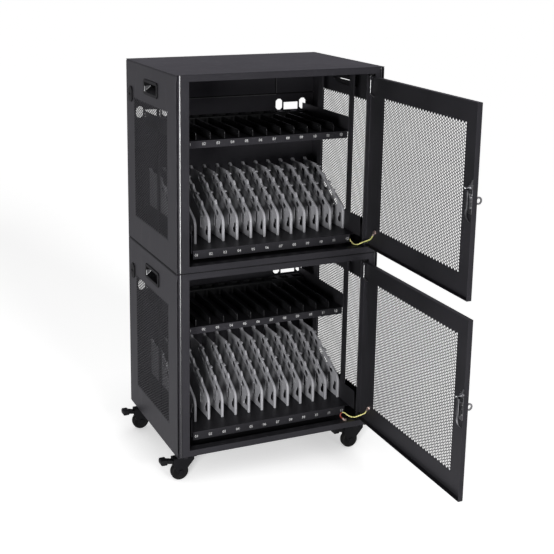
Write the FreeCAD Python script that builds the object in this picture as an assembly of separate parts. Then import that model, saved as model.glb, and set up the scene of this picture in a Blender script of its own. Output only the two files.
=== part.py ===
import FreeCAD, Part
import math
import os

# Two stacked charging modules on braked casters, in millimetres, +Z up, front towards -Y.
# The origin lies on the floor under the middle of the body. Module heights count from a module's own base.

vec = FreeCAD.Vector

# Body
body_width = 600.0
body_depth = 420.0
module_height = 522.0
caster_height = 78.0
panel_sheet = 1.2
top_sheet = 1.5
base_sheet = 2.5
cover_gap = 2.0
front_gap = 1.0
skirt_height = 14.0
insert_clearance = 0.1

# Front frame
frame_sheet = 1.5
lock_stile = 35.0
hinge_stile = 27.0
rail_height = 18.0
frame_return = 26.0
bead_radius = 3.0
bead_sides = 12
bead_groove = 2.0
side_groove = 3.8
web_setback = 5.0
rail_flange = 20.0

# Side panels, their windows, handles and cable anchors
window_width = 284.0
window_bottom = 76.0
window_top_margin = 101.0
window_openings = 4
handle_width = 114.0
handle_height = 42.0
handle_corner = 6.0
handle_rim = 8.0
handle_overlap = 4.0
handle_proud = 2.5
handle_depth = 24.0
handle_wall = 2.5
handle_floor_rise = 1.5
handle_slit = 4.0
handle_from_top = 59.0
handle_forward = 8.0
anchor_width = 30.0
anchor_height = 44.0
anchor_corner = 9.0
anchor_proud = 3.0
anchor_slot_height = 5.0
anchor_slot_length = 20.0
anchor_from_rear = 42.0
anchor_from_top = 95.0

# Back
rear_cover_height = 122.0
rear_seam = 0.2
cover_split_from_side = 130.0
cutout_above_shelf = 18.0
cutout_from_side = 78.0
oval_width = 21.0
oval_height = 33.0
oval_corner = 6.2
oval_spacing = 79.0
inlet_width = 47.0
inlet_height = 22.0

# Shelf, tray, uprights and dividers
rack_side_gap = 48.0
rack_end_gap = 4.2
upright_sheet = 1.5
upright_depth = 25.0
upright_flange = 4.0
upright_setback = 82.0
rear_upright_from_back = 151.0
slot_count = 12
shelf_sheet = 1.2
shelf_from_top = 190.0
shelf_setback = 101.0
shelf_rear_gap = 23.0
shelf_lip = 20.0
shelf_lip_inset = 4.0
shelf_side = 40.0
tray_top = 46.0
tray_setback = 48.0
tray_rear_gap = 30.0
tray_lip = 24.0
tray_lip_inset = 15.0
tray_side = 55.0
tray_ear = 28.0
rack_rear_edge = 13.0
bay_divider_thickness = 3.0
bay_divider_height = 23.0
bay_divider_rear_gap = 14.8
bay_divider_setback = 5.0
bay_divider_corner = 8.0
divider_thickness = 3.6
divider_setback = 62.0
divider_rear_gap = 16.0
divider_height = 157.0
divider_nose = 45.0
nose_run = 19.0
divider_slope = 27.6
clip_first = 62.0
clip_pitch = 32.7
clip_width = 14.0
clip_height = 5.0
clip_lead = 4.0
clip_count = 4
key_slot_from_nose = 25.0
key_slot_bottom = 12.0
key_slot_height = 28.0
key_slot_width = 16.0
hand_slot_from_nose = 56.0
hand_slot_bottom = 24.0
hand_slot_height = 40.0
hand_slot_width = 20.0
knee_chords = 3

# Socket strip
strip_end_gap = 7.0
strip_width = 44.0
strip_height = 22.0
strip_corner = 4.0
strip_rear_gap = 6.0
socket_size = 26.0
socket_depth = 7.0

# Doors
door_sheet = 1.5
door_depth = 14.0
door_gap = 6.0
door_free_gap = 2.5
door_hinge_gap = 3.5
door_bevel = 1.2
mesh_margin_hinge = 72.0
mesh_margin_free = 56.0
mesh_margin_rail = 52.0
mesh_openings = 5
mesh_bar = 12.0
upper_swing_angle = 88.3
lower_swing_angle = 89.3
pin_diameter = 5.0
pin_clearance = 0.05
pin_inside = 49.0
pin_end_gap = 0.3
pin_foot = 11.0
pin_notch_clearance = 0.5
tail_size = 4.4
lug_height = 10.0
lug_half_width = 5.0
block_size = 12.0
block_height = 4.5

# Lock, hook and key
lock_from_free = 26.0
lock_plate_width = 17.0
lock_plate_sheet = 2.0
lock_plate_below = 30.0
lock_plate_above = 42.0
lock_body_width = 13.0
lock_body_height = 46.0
lock_body_depth = 17.0
barrel_size = 14.0
rosette_size = 24.0
rosette_corner = 7.0
rosette_height = 3.0
plug_diameter = 9.0
plug_depth = 6.0
plug_clearance = 0.05
post_size = 10.0
post_gap = 0.3
hook_rise = 34.0
hook_sheet = 2.5
hook_behind_return = 1.5
hook_size = 18.0
hook_corner = 5.0
hook_jaw = 3.0
hook_mouth = 3.0
hook_arm = 34.0
hook_arm_width = 6.0
hook_bar = 16.0
hook_bar_size = 4.0
spindle_diameter = 6.0
spindle_length = 14.0
spindle_clearance = 0.05
tongue_start = 20.0
tongue_bend = 32.0
tongue_end = 50.0
tongue_out = 9.0
tongue_kick = 7.0
tongue_width = 14.0
tongue_sheet = 1.5
key_shank = 9.0
key_shank_width = 7.0
key_bow_radius = 10.0
key_eye_radius = 5.5
key_bow_sides = 16
key_sheet = 2.2

# Earth wires and their terminals
wire_diameter = 3.6
wire_sides = 6
wire_turn_share = 0.45
crimp_length = 7.0
crimp_across_flats = 5.0
eye_across_flats = 11.0
eye_sheet = 1.2
nut_across_flats = 8.0
nut_height = 3.5
door_stud = (45.0, 69.5)
frame_stud = {"upper": (-35.5, 58.8), "lower": (-41.5, 7.7)}  # from the hinge axis
wire_start = {  # from the hinge axis, at the height of the bottom rail
    "upper": ((-29.3, 53.5, 18.3), (-24.1, 48.0, 14.0), (-23.1, 39.5, 7.0), (-22.9, 25.0, 3.0),
              (-20.5, 16.0, 2.4), (-16.0, 8.5, 5.5), (-12.0, 0.5, 11.0), (-8.0, -8.5, 16.5)),
    "lower": ((-49.5, 10.0, 6.6), (-54.5, 11.5, 11.0), (-54.5, 13.0, 17.5), (-49.5, 14.0, 22.5),
              (-41.0, 14.5, 21.5), (-32.5, 14.0, 13.5), (-23.5, 12.0, 6.8), (-16.0, 7.0, 5.2),
              (-11.5, -1.0, 8.4), (-7.5, -9.0, 14.5)),
}
wire_on_door = ((22.0, 3.8, 42.0), (33.0, 3.3, 50.0), (39.5, 3.2, 59.5))

# Casters
caster_inset_x = 35.0
caster_inset_y = 36.0
caster_plate = 58.0
caster_plate_sheet = 2.5
bolt_spacing = 42.0
bolt_across_flats = 10.0
bolt_head_height = 4.0
wheel_diameter = 50.0
wheel_width = 20.0
wheel_shoulder = 4.0
caster_trail = 18.0
axle_diameter = 8.0
axle_clearance = 0.05
axle_head_across_flats = 13.0
axle_head_height = 4.0
fork_side_gap = 0.8
fork_sheet = 2.2
fork_top = 66.0
fork_front = 22.0
fork_front_depth = 8.0
fork_rear_depth = 18.0
fork_rear_margin = 8.0
fork_eye_radius = 9.5
race_bottom_diameter = 42.0
race_top_diameter = 34.0
race_sides = 12
race_gap = 0.3
pin_sides = 12
kingpin_diameter = 12.0
kingpin_clearance = 0.05
kingpin_nut = 18.0
kingpin_nut_height = 4.0
pedal_pivot_back = 30.0
pedal_pivot_height = 55.0
pedal_pin_diameter = 5.0
pedal_pin_clearance = 0.05
pedal_side_gap = 0.4
pedal_hub_radius = 4.5
pedal_sheet = 3.5
pedal_reach = 44.0
pedal_rise = 5.0
pedal_toe_length = 16.0
pedal_toe_height = 9.0
pedal_toe_width = 26.0

# Places worked out from the sizes
half_width = body_width / 2
half_depth = body_depth / 2
front = -half_depth
side_inner = half_width - panel_sheet
back_inner = half_depth - panel_sheet
frame_low = base_sheet
frame_high = module_height - top_sheet
side_high = frame_high - cover_gap
opening_left = -half_width + lock_stile
opening_right = half_width - hinge_stile
opening_low = rail_height
opening_high = module_height - rail_height
bead_x = side_inner - side_groove - bead_radius
window_high = module_height - window_top_margin
handle_z = module_height - handle_from_top
anchor_z = module_height - anchor_from_top
rear_split = module_height - rear_cover_height
shelf_top = module_height - shelf_from_top
shelf_near = front + shelf_setback
shelf_far = half_depth - shelf_rear_gap
tray_near = front + tray_setback
tray_far = half_depth - tray_rear_gap
strip_far = shelf_far - shelf_sheet - strip_rear_gap
rack_half = half_width - rack_side_gap
slot_pitch = 2 * (rack_half - rack_end_gap) / slot_count
hinge_x = opening_right - door_hinge_gap - door_depth / 2
hinge_y = front + door_depth / 2
door_left = opening_left + door_free_gap
door_right = hinge_x + door_depth / 2
door_low = opening_low + door_gap
door_high = opening_high - door_gap
skin_inner = front + door_sheet
lock_x = door_left + lock_from_free
lock_z = (door_low + door_high) / 2
hook_z = lock_z + hook_rise
hook_y = front + frame_return + hook_behind_return
wheel_z = wheel_diameter / 2
fork_inner = wheel_width / 2 + fork_side_gap
fork_outer = fork_inner + fork_sheet
modules = ("lower", "upper")
module_base = {"lower": caster_height, "upper": caster_height + module_height}
door_angle = {"lower": lower_swing_angle, "upper": upper_swing_angle}


# Shape helpers

def box(x, y, z):
    return Part.makeBox(x[1] - x[0], y[1] - y[0], z[1] - z[0], vec(x[0], y[0], z[0]))


def rod(diameter, start, end):
    along = end - start
    return Part.makeCylinder(diameter / 2, along.Length, start, along)


def prism(points, along):
    return Part.Face(Part.makePolygon(points + [points[0]])).extrude(along)


def plan_prism(points, low, high):
    return prism([vec(x, y, low) for x, y in points], vec(0, 0, high - low))


def side_prism(points, low, high):
    return prism([vec(low, y, z) for y, z in points], vec(high - low, 0, 0))


def front_prism(points, low, high):
    return prism([vec(x, low, z) for x, z in points], vec(0, high - low, 0))


def many_sided_wire(sides, radius, centre, normal):
    step = 2 * math.pi / sides
    corners = [vec(math.cos(i * step), math.sin(i * step), 0) * radius for i in range(sides)]
    wire = Part.makePolygon(corners + corners[:1])
    wire.Placement = FreeCAD.Placement(centre, FreeCAD.Rotation(vec(0, 0, 1), normal))
    return wire


def many_sided_rod(sides, diameter, start, end):
    return Part.Face(many_sided_wire(sides, diameter / 2, start, end - start)).extrude(end - start)


def hexagon(across_flats, centre, along):
    # A hexagonal head, nut or crimp that stands on centre and grows along the given vector.
    return many_sided_rod(6, 2 * across_flats / math.sqrt(3), centre, centre + along)


def folded(path, sheet):
    # The section of a folded sheet whose outer face follows the path, with the metal on its right.
    inner = []
    for i, (x, y) in enumerate(path):
        runs = [(path[j], path[j + 1]) for j in (i - 1, i) if 0 <= j < len(path) - 1]
        nx = ny = 0.0
        for (x0, y0), (x1, y1) in runs:
            length = math.hypot(x1 - x0, y1 - y0)
            nx += (y1 - y0) / length / len(runs)
            ny += (x0 - x1) / length / len(runs)
        scale = sheet / (nx * nx + ny * ny)
        inner.append((x + nx * scale, y + ny * scale))
    return list(path) + inner[::-1]


def cornered_plate(width, height, corner, thickness):
    # A plate in the XZ plane about the origin, with its corners cut off, that grows towards +Y.
    w, h = width / 2, height / 2
    quarter = [(w - corner, h), (w, h - corner)]
    right = quarter + [(x, -z) for x, z in reversed(quarter)]
    return front_prism(right + [(-x, z) for x, z in reversed(right)], 0, thickness)


def moved(shape, x=0.0, y=0.0, z=0.0):
    copy = shape.copy()
    copy.translate(vec(x, y, z))
    return copy


def fused(first, *others):
    return first.fuse(list(others)).removeSplitter()


def mirrored(shape):
    return shape.mirror(vec(0, 0, 0), vec(1, 0, 0))


def both_sides(left):
    return [left, mirrored(left)]


def facing_left(shape, y, z, proud):
    # Turns a plate made in the XZ plane to stand on the outside of the left panel.
    shape.rotate(vec(0, 0, 0), vec(0, 0, 1), -90)
    return moved(shape, -half_width - proud, y, z)


def opened(shape, module):
    # Swings a piece that was made on the closed door to the angle at which the door stands.
    copy = shape.copy()
    copy.rotate(vec(hinge_x, hinge_y, 0), vec(0, 0, 1), door_angle[module])
    return copy


def save(node, shapes):
    solids = [solid for shape in shapes for solid in shape.Solids]
    whole = solids[0] if len(solids) == 1 else Part.makeCompound(solids)
    whole.exportStep("parts/" + node + ".step")


# Case

def skirt(low, high):
    path = [(-side_inner, front + front_gap), (-side_inner, back_inner)]
    path += [(-x, y) for x, y in reversed(path)]
    return plan_prism(folded(path, panel_sheet), low, high)


def top_panel():
    plate = box((-half_width, half_width), (front, half_depth), (frame_high, module_height))
    return fused(plate, skirt(frame_high - skirt_height, frame_high))


def bottom_panel():
    plate = box((-side_inner, side_inner), (front + front_gap, back_inner), (0, base_sheet))
    return fused(plate, skirt(base_sheet, base_sheet + skirt_height))


def left_stile(edge):
    # A folded stile with a return at the opening, a groove, and a round bead at the outer corner.
    inner, outer = bead_x - bead_radius - bead_groove, bead_x + bead_radius
    web, rear = front + web_setback, front + frame_return
    path = [(-edge, rear), (-edge, front), (-inner, front), (-inner, web), (-outer, web), (-outer, rear)]
    sheet = plan_prism(folded(path, frame_sheet), frame_low, frame_high)
    foot = vec(-bead_x, front + bead_radius, frame_low)
    bead = many_sided_rod(bead_sides, 2 * bead_radius, foot, foot + vec(0, 0, frame_high - frame_low))
    return fused(sheet, bead)


def rail(opening, outside):
    # A folded rail whose return faces the opening and whose flange lies on the panel beyond it.
    path = [(front + frame_return, opening), (front, opening)]
    path += [(front, outside), (front + rail_flange, outside)]
    if opening > outside:
        path.reverse()
    return side_prism(folded(path, frame_sheet), opening_left - frame_sheet, opening_right + frame_sheet)


def front_frame():
    return fused(left_stile(-opening_left), mirrored(left_stile(opening_right)),
                 rail(opening_high, frame_high), rail(opening_low, frame_low))


def left_side_panel():
    sheet = box((-half_width, -side_inner), (front + front_gap, half_depth), (frame_low, side_high))
    through = (-half_width - panel_sheet, -side_inner + panel_sheet)
    window = box(through, (-window_width / 2, window_width / 2),
                 (window_bottom, window_high))
    reach_y = handle_width / 2 - handle_overlap
    reach_z = handle_height / 2 - handle_overlap
    grip = box(through, (-handle_forward - reach_y, reach_y - handle_forward),
               (handle_z - reach_z, handle_z + reach_z))
    return sheet.cut(window).cut(grip)


def mesh_sheet(x, y, z, count):
    # A sheet in the XZ plane whose fine perforation is a plain grid of openings.
    step_x, step_z = (x[1] - x[0] - mesh_bar) / count, (z[1] - z[0] - mesh_bar) / count
    opening = box((x[0] + mesh_bar, x[0] + step_x), y, (z[0] + mesh_bar, z[0] + step_z))
    openings = [moved(opening, column * step_x, 0, row * step_z)
                for column in range(count) for row in range(count)]
    return box(x, y, z).cut(openings)


def left_side_mesh():
    half = window_width / 2 - insert_clearance
    high = (window_bottom + insert_clearance, window_high - insert_clearance)
    return facing_left(mesh_sheet((-half, half), (0, panel_sheet), high, window_openings), 0, 0, 0)


def left_handle():
    # A moulded finger cup: a rim outside, then a sloping floor, cheeks, a top and a back above a slit.
    rim = cornered_plate(handle_width, handle_height, handle_corner, handle_proud)
    mouth_x, mouth_z = handle_width / 2 - handle_rim, handle_height / 2 - handle_rim
    rim = rim.cut(box((-mouth_x, mouth_x), (0, handle_proud), (-mouth_z, mouth_z)))
    reach_x = handle_width / 2 - handle_overlap - insert_clearance
    reach_z = handle_height / 2 - handle_overlap - insert_clearance
    floor = folded([(handle_depth, handle_floor_rise), (handle_proud, -reach_z)], handle_wall)
    cheek = [(handle_proud, -reach_z), (handle_depth, handle_floor_rise)]
    cheek += [(y, reach_z) for y, z in reversed(cheek)]
    across = (-reach_x, reach_x)
    top = box(across, (handle_proud, handle_depth), (reach_z - handle_wall, reach_z))
    slit_high = handle_floor_rise + handle_slit
    back = box(across, (handle_depth - handle_wall, handle_depth), (slit_high, reach_z))
    pieces = [side_prism(floor, *across), top, back]
    pieces += [side_prism(cheek, x, x + handle_wall) for x in (-reach_x, reach_x - handle_wall)]
    inside = box(across, (handle_proud, handle_depth), (-reach_z, reach_z))
    return facing_left(fused(rim, *[piece.common(inside) for piece in pieces]),
                       -handle_forward, handle_z, handle_proud)


def left_anchor():
    # An oblong boss with a slot across it for a security cable.
    plate = cornered_plate(anchor_width, anchor_height, anchor_corner, anchor_proud)
    slot = box((-anchor_slot_length / 2, anchor_slot_length / 2), (0, anchor_proud / 2),
               (-anchor_slot_height / 2, anchor_slot_height / 2))
    return facing_left(plate.cut(slot), half_depth - anchor_from_rear, anchor_z, anchor_proud)


def back_panel():
    panel = box((-side_inner, side_inner), (back_inner, half_depth), (frame_low, rear_split - rear_seam))
    through = (back_inner, half_depth)
    cutout_x, cutout_bottom = half_width - cutout_from_side, shelf_top + cutout_above_shelf
    holes = []
    for x in (-cutout_x, cutout_x):
        for offset in (-oval_spacing / 2, oval_spacing / 2):
            oval = cornered_plate(oval_width, oval_height, oval_corner, panel_sheet)
            holes.append(moved(oval, x + offset, back_inner, cutout_bottom + oval_height / 2))
        holes.append(box((x - inlet_width / 2, x + inlet_width / 2), through,
                         (cutout_bottom, cutout_bottom + inlet_height)))
    return panel.cut(holes)


def rear_covers():
    depth, height = (back_inner, half_depth), (rear_split, side_high)
    split = half_width - cover_split_from_side
    return [box((-side_inner, split - rear_seam), depth, height), box((split, side_inner), depth, height)]


# Rack

def uprights():
    posts = []
    for start in (front + upright_setback, half_depth - rear_upright_from_back):
        path = [(-rack_half, start + upright_depth), (-rack_half, start)]
        path.append((-rack_half - upright_flange, start))
        posts += both_sides(plan_prism(folded(path, upright_sheet), frame_low, frame_high))
    return posts


def rack_sheet(top, near, far, lip, lip_inset, side):
    # A shelf folded from one sheet: a lip down in front, sides up, and a lower edge up at the rear.
    under = top - shelf_sheet
    path = [(rack_half, top + side), (rack_half, under), (-rack_half, under), (-rack_half, top + side)]
    floor = front_prism(folded(path, shelf_sheet), near, far)
    rear = box((-rack_half, rack_half), (far - shelf_sheet, far), (under, top + rack_rear_edge))
    lip_half = rack_half - lip_inset
    apron = box((-lip_half, lip_half), (near, near + shelf_sheet), (top - lip, top))
    return fused(floor, rear, apron)


def shelf():
    return rack_sheet(shelf_top, shelf_near, shelf_far, shelf_lip, shelf_lip_inset, shelf_side)


def tray():
    # The tray's sides run on past its lip as two ears.
    sheet = rack_sheet(tray_top, tray_near, tray_far, tray_lip, tray_lip_inset, tray_side)
    ear = box((-rack_half, shelf_sheet - rack_half), (tray_near - tray_ear, tray_near),
              (tray_top, tray_top + tray_side))
    return fused(sheet, *both_sides(ear))


def bay_dividers():
    # Low dividers of the upper shelf, with both top corners cut off.
    near, far = shelf_near + bay_divider_setback, strip_far - strip_width - bay_divider_rear_gap
    high, half = shelf_top + bay_divider_height, bay_divider_thickness / 2
    outline = [(near, shelf_top), (near, high - bay_divider_corner), (near + bay_divider_corner, high),
               (far - bay_divider_corner, high), (far, high - bay_divider_corner), (far, shelf_top)]
    blade = side_prism(outline, -half, half)
    return [moved(blade, (i - slot_count / 2) * slot_pitch) for i in range(1, slot_count)]


def teardrop(y, low, height, width):
    # The outline of a hole that is widest near its foot and narrows to the top.
    wide, narrow = width / 2, width / 4
    right = [(narrow, low), (wide, low + height / 3), (narrow, low + height)]
    return [(y + run, z) for run, z in right] + [(y - run, z) for run, z in reversed(right)]


def tray_divider():
    # A moulded divider: upright nose, round knee, sloping edge with cable clips, flat top and two holes.
    length = tray_far - tray_near - divider_setback - divider_rear_gap
    slope = math.radians(divider_slope)
    along, up = vec(0, math.cos(slope), math.sin(slope)), vec(0, -math.sin(slope), math.cos(slope))
    knee = vec(0, 0, divider_nose + nose_run)
    turn = math.pi / 2 - slope
    radius = nose_run / math.tan(turn / 2)
    angles = [turn * i / knee_chords for i in range(knee_chords + 1)]
    outline = [vec(0, 0, 0)]
    outline += [vec(0, radius - radius * math.cos(a), divider_nose + radius * math.sin(a)) for a in angles]
    for i in range(clip_count):
        foot = knee + along * (clip_first + i * clip_pitch)
        outline += [foot, foot + up * clip_height + along * clip_lead, foot + along * clip_width]
    crown = (divider_height - knee.z) / math.tan(slope)
    outline += [vec(0, crown, divider_height), vec(0, length, divider_height), vec(0, length, 0)]
    blade = prism(outline, vec(divider_thickness, 0, 0))
    holes = [teardrop(key_slot_from_nose, key_slot_bottom, key_slot_height, key_slot_width),
             teardrop(hand_slot_from_nose, hand_slot_bottom, hand_slot_height, hand_slot_width)]
    blade = blade.cut([side_prism(hole, 0, divider_thickness) for hole in holes])
    return moved(blade, -divider_thickness / 2, tray_near + divider_setback, tray_top)


def tray_dividers():
    blade = tray_divider()
    return [moved(blade, (i - slot_count / 2) * slot_pitch) for i in range(slot_count + 1)]


def power_strip():
    # A socket strip along the rear of the shelf, with one socket for each slot.
    strip_half = rack_half - strip_end_gap
    high = shelf_top + strip_height
    body = box((-strip_half, strip_half), (strip_far - strip_width, strip_far), (shelf_top, high))
    ridges = [edge for edge in body.Edges
              if abs(edge.tangentAt(edge.FirstParameter).x) > 0.5 and edge.CenterOfMass.z > shelf_top]
    body = body.makeFillet(strip_corner, ridges)
    y, half = strip_far - strip_width / 2, socket_size / 2
    socket = box((-half, half), (y - half, y + half), (high - socket_depth, high))
    return body.cut([moved(socket, (i - (slot_count - 1) / 2) * slot_pitch) for i in range(slot_count)])


# Doors, made closed

def door_frame():
    # A folded pan with bevelled front edges, a window, a notch for each pin and a square hole for the lock.
    outer = box((door_left, door_right), (front, front + door_depth), (door_low, door_high))
    ridges = [edge for edge in outer.Edges if edge.BoundBox.YMax < front + insert_clearance]
    outer = outer.makeChamfer(door_bevel, ridges)
    hollow = box((door_left + door_sheet, door_right - door_sheet), (skin_inner, front + door_depth),
                 (door_low + door_sheet, door_high - door_sheet))
    window = box((door_left + mesh_margin_free, door_right - mesh_margin_hinge), (front, skin_inner),
                 (door_low + mesh_margin_rail, door_high - mesh_margin_rail))
    reach = pin_diameter / 2 + pin_notch_clearance
    notch = box((hinge_x - reach, hinge_x + reach), (hinge_y - reach, front + door_depth),
                (door_low, door_high))
    half = barrel_size / 2 + insert_clearance
    lock_hole = box((lock_x - half, lock_x + half), (front, skin_inner), (lock_z - half, lock_z + half))
    return outer.cut([hollow, window, notch, lock_hole])


def door_mesh():
    left = door_left + mesh_margin_free + insert_clearance
    right = door_right - mesh_margin_hinge - insert_clearance
    low = door_low + mesh_margin_rail + insert_clearance
    high = door_high - mesh_margin_rail - insert_clearance
    return mesh_sheet((left, right), (front, skin_inner), (low, high), mesh_openings)


def hinge_pins():
    # The upper pin on its lug, with a bent square tail below, and the same turned over for the lower pin.
    axis = vec(hinge_x, hinge_y, 0)
    lug_high = door_high - door_sheet
    lug_low = lug_high - lug_height
    lug = box((hinge_x - lug_half_width, door_right - door_sheet), (skin_inner, hinge_y + lug_half_width),
              (lug_low, lug_high))
    pin = rod(pin_diameter, axis + vec(0, 0, lug_high), axis + vec(0, 0, opening_high - pin_end_gap))
    half, foot_z = tail_size / 2, door_high - pin_inside
    bend = [(hinge_x + half, lug_low), (hinge_x + half, foot_z), (hinge_x - pin_foot, foot_z)]
    tail = front_prism(folded(bend, tail_size), hinge_y - half, hinge_y + half)
    upper = fused(pin, lug, tail)
    return [upper, upper.mirror(vec(0, 0, (door_low + door_high) / 2), vec(0, 0, 1))]


def hinge_blocks():
    # Bearing blocks on the two rails, each with a round bore for a door pin.
    half = block_size / 2
    blocks = []
    for low in (opening_low, opening_high - block_height):
        seat = vec(hinge_x, hinge_y, low)
        block = box((hinge_x - half, hinge_x + half), (hinge_y - half, hinge_y + half),
                    (low, low + block_height))
        bore = rod(pin_diameter + 2 * pin_clearance, seat, seat + vec(0, 0, block_height))
        blocks.append(block.cut(bore))
    return blocks


def lock_body():
    # A back plate and case, a square shank through the door, a rosette, the hook's post and a bent tongue.
    half, case_half = lock_plate_width / 2, lock_body_width / 2
    plate = box((lock_x - half, lock_x + half), (skin_inner, skin_inner + lock_plate_sheet),
                (lock_z - lock_plate_below, lock_z + lock_plate_above))
    case = box((lock_x - case_half, lock_x + case_half), (skin_inner, skin_inner + lock_body_depth),
               (lock_z - lock_body_height / 2, lock_z + lock_body_height / 2))
    axis = vec(lock_x, front, lock_z)
    shank_half = barrel_size / 2
    shank = box((lock_x - shank_half, lock_x + shank_half), (front, skin_inner),
                (lock_z - shank_half, lock_z + shank_half))
    rosette = moved(cornered_plate(rosette_size, rosette_size, rosette_corner, rosette_height),
                    lock_x, front - rosette_height, lock_z)
    post_half = post_size / 2
    post = box((lock_x - post_half, lock_x + post_half), (skin_inner, hook_y - post_gap),
               (hook_z - post_half, hook_z + post_half))
    out = skin_inner + tongue_out
    bend = [(out, lock_z - tongue_start), (out, lock_z - tongue_bend)]
    bend.append((out + tongue_kick, lock_z - tongue_end))
    tongue = side_prism(folded(bend, tongue_sheet), lock_x - tongue_width / 2, lock_x + tongue_width / 2)
    whole = fused(plate, case, shank, rosette, post, tongue)
    plug_bore = rod(plug_diameter + 2 * plug_clearance, axis - vec(0, rosette_height, 0),
                    axis + vec(0, plug_depth, 0))
    hook_axis = vec(lock_x, hook_y, hook_z)
    bore_end = hook_axis - vec(0, spindle_length, 0)
    spindle_bore = rod(spindle_diameter + 2 * spindle_clearance, bore_end, hook_axis)
    return whole.cut([plug_bore, spindle_bore])


def lock_hook():
    # The hook plate on its spindle: an open jaw, an arm that catches the stile, and a cross bar.
    back = hook_y + hook_sheet
    centre = vec(lock_x, hook_y, hook_z)
    disc = moved(cornered_plate(hook_size, hook_size, hook_corner, hook_sheet), lock_x, hook_y, hook_z)
    low = hook_z - hook_size / 2
    mouth = box((lock_x - hook_size / 2, lock_x + hook_mouth), (hook_y, back),
                (low + hook_jaw, hook_z - hook_jaw))
    tip = hook_arm_width / 2
    end = hook_z + hook_arm
    arm = front_prism([(lock_x - tip, hook_z), (lock_x + tip, hook_z), (lock_x + tip, end - tip),
                       (lock_x, end), (lock_x - tip, end)], hook_y, back)
    bar_half = hook_bar_size / 2
    bar = box((lock_x, lock_x + hook_bar), (back, back + hook_bar_size),
              (hook_z - bar_half, hook_z + bar_half))
    spindle = rod(spindle_diameter, centre - vec(0, spindle_length - post_gap, 0), centre)
    return fused(disc.cut(mouth), arm, bar, spindle)


def key():
    # The key with its round bow stands in a plug that turns in the rosette.
    seat = vec(lock_x, front - rosette_height, lock_z)
    plug = rod(plug_diameter, seat, seat + vec(0, rosette_height + plug_depth - post_gap, 0))
    half = key_sheet / 2
    shank = box((lock_x - half, lock_x + half), (seat.y - key_shank, seat.y),
                (lock_z - key_shank_width / 2, lock_z + key_shank_width / 2))
    middle = vec(lock_x - half, seat.y - key_shank - key_bow_radius + key_sheet, lock_z)
    bow, eye = [many_sided_rod(key_bow_sides, 2 * radius, middle, middle + vec(key_sheet, 0, 0))
                for radius in (key_bow_radius, key_eye_radius)]
    return fused(plug, shank, bow.cut(eye))


# Earth bonding

def wire_route(module):
    # The points of one earth wire: from the bottom rail to the stud on the standing door.
    points = [vec(hinge_x + x, hinge_y + y, opening_low + z) for x, y, z in wire_start[module]]
    for run, depth, z in wire_on_door:
        point = Part.Vertex(hinge_x - run, skin_inner + depth, z)
        points.append(opened(point, module).Point)
    return points


def earth_wire(module):
    # Straight runs and tangent arcs, each arc as large as its two runs allow.
    points = wire_route(module)
    edges, radii = [], []
    start = points[0]
    for before, corner, after in zip(points, points[1:], points[2:]):
        come, leave = corner - before, after - corner
        turn = come.getAngle(leave)
        reach = wire_turn_share * min(come.Length, leave.Length)
        radius = reach / math.tan(turn / 2)
        come.normalize()
        leave.normalize()
        first, last = corner - come * reach, corner + leave * reach
        inward = (leave - come).normalize()
        middle = corner + inward * (radius / math.cos(turn / 2) - radius)
        edges += [Part.makeLine(start, first), Part.Arc(first, middle, last).toShape()]
        radii.append(round(radius, 1))
        start = last
    edges.append(Part.makeLine(start, points[-1]))
    path = Part.Wire(edges)
    section = many_sided_wire(wire_sides, wire_diameter / 2, points[0], points[1] - points[0])
    tube = path.makePipeShell([section], True, True)
    ratio = tube.Volume / (Part.Face(section).Area * path.Length)
    print(module, "wire length", round(path.Length, 1), "volume ratio", round(ratio, 4), "radii", radii)
    return tube


def terminal(stud, outward, end, along):
    # A flat terminal under its nut, and the crimp that the wire leaves from.
    eye = hexagon(eye_across_flats, stud, outward * eye_sheet)
    nut = hexagon(nut_across_flats, stud + outward * eye_sheet, outward * nut_height)
    crimp = hexagon(crimp_across_flats, end - along * crimp_length, along * crimp_length)
    return fused(eye, nut, crimp)


def frame_terminal(module):
    # The upper wire starts under its tray, the lower one on the bottom rail.
    first, second = wire_route(module)[:2]
    x, y = frame_stud[module]
    z, outward = (tray_top - shelf_sheet, -1) if module == "upper" else (opening_low, 1)
    stud = vec(hinge_x + x, hinge_y + y, z)
    return terminal(stud, vec(0, 0, outward), first, (second - first).normalize())


def door_terminal(module):
    run, z = door_stud
    before, end = [vec(hinge_x - run, skin_inner + depth, z) for run, depth, z in wire_on_door[-2:]]
    stud = vec(hinge_x - run, skin_inner, z)
    return opened(terminal(stud, vec(0, 1, 0), end, (before - end).normalize()), module)


# Casters, made about their swivel axis with the wheel trailing towards -X

def mounting_plate():
    # The fixed plate with the king pin that the fork turns on.
    half = caster_plate / 2
    low = caster_height - caster_plate_sheet
    plate = box((-half, half), (-half, half), (low, caster_height))
    head = vec(0, 0, fork_top - fork_sheet - race_gap)
    pin = many_sided_rod(pin_sides, kingpin_diameter, head, vec(0, 0, low))
    nut = hexagon(kingpin_nut, head, vec(0, 0, -kingpin_nut_height))
    return fused(plate, pin, nut)


def plate_bolts():
    reach = bolt_spacing / 2
    low = caster_height - caster_plate_sheet
    return [hexagon(bolt_across_flats, vec(x, y, low), vec(0, 0, -bolt_head_height))
            for x in (-reach, reach) for y in (-reach, reach)]


def tangent_point(centre, radius, point, side):
    # Where a line from the point touches a circle in the XZ plane, on the side given by the sign.
    away = point - centre
    angle = math.atan2(away.z, away.x) + side * math.acos(radius / away.Length)
    return centre + vec(math.cos(angle), 0, math.sin(angle)) * radius


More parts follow.
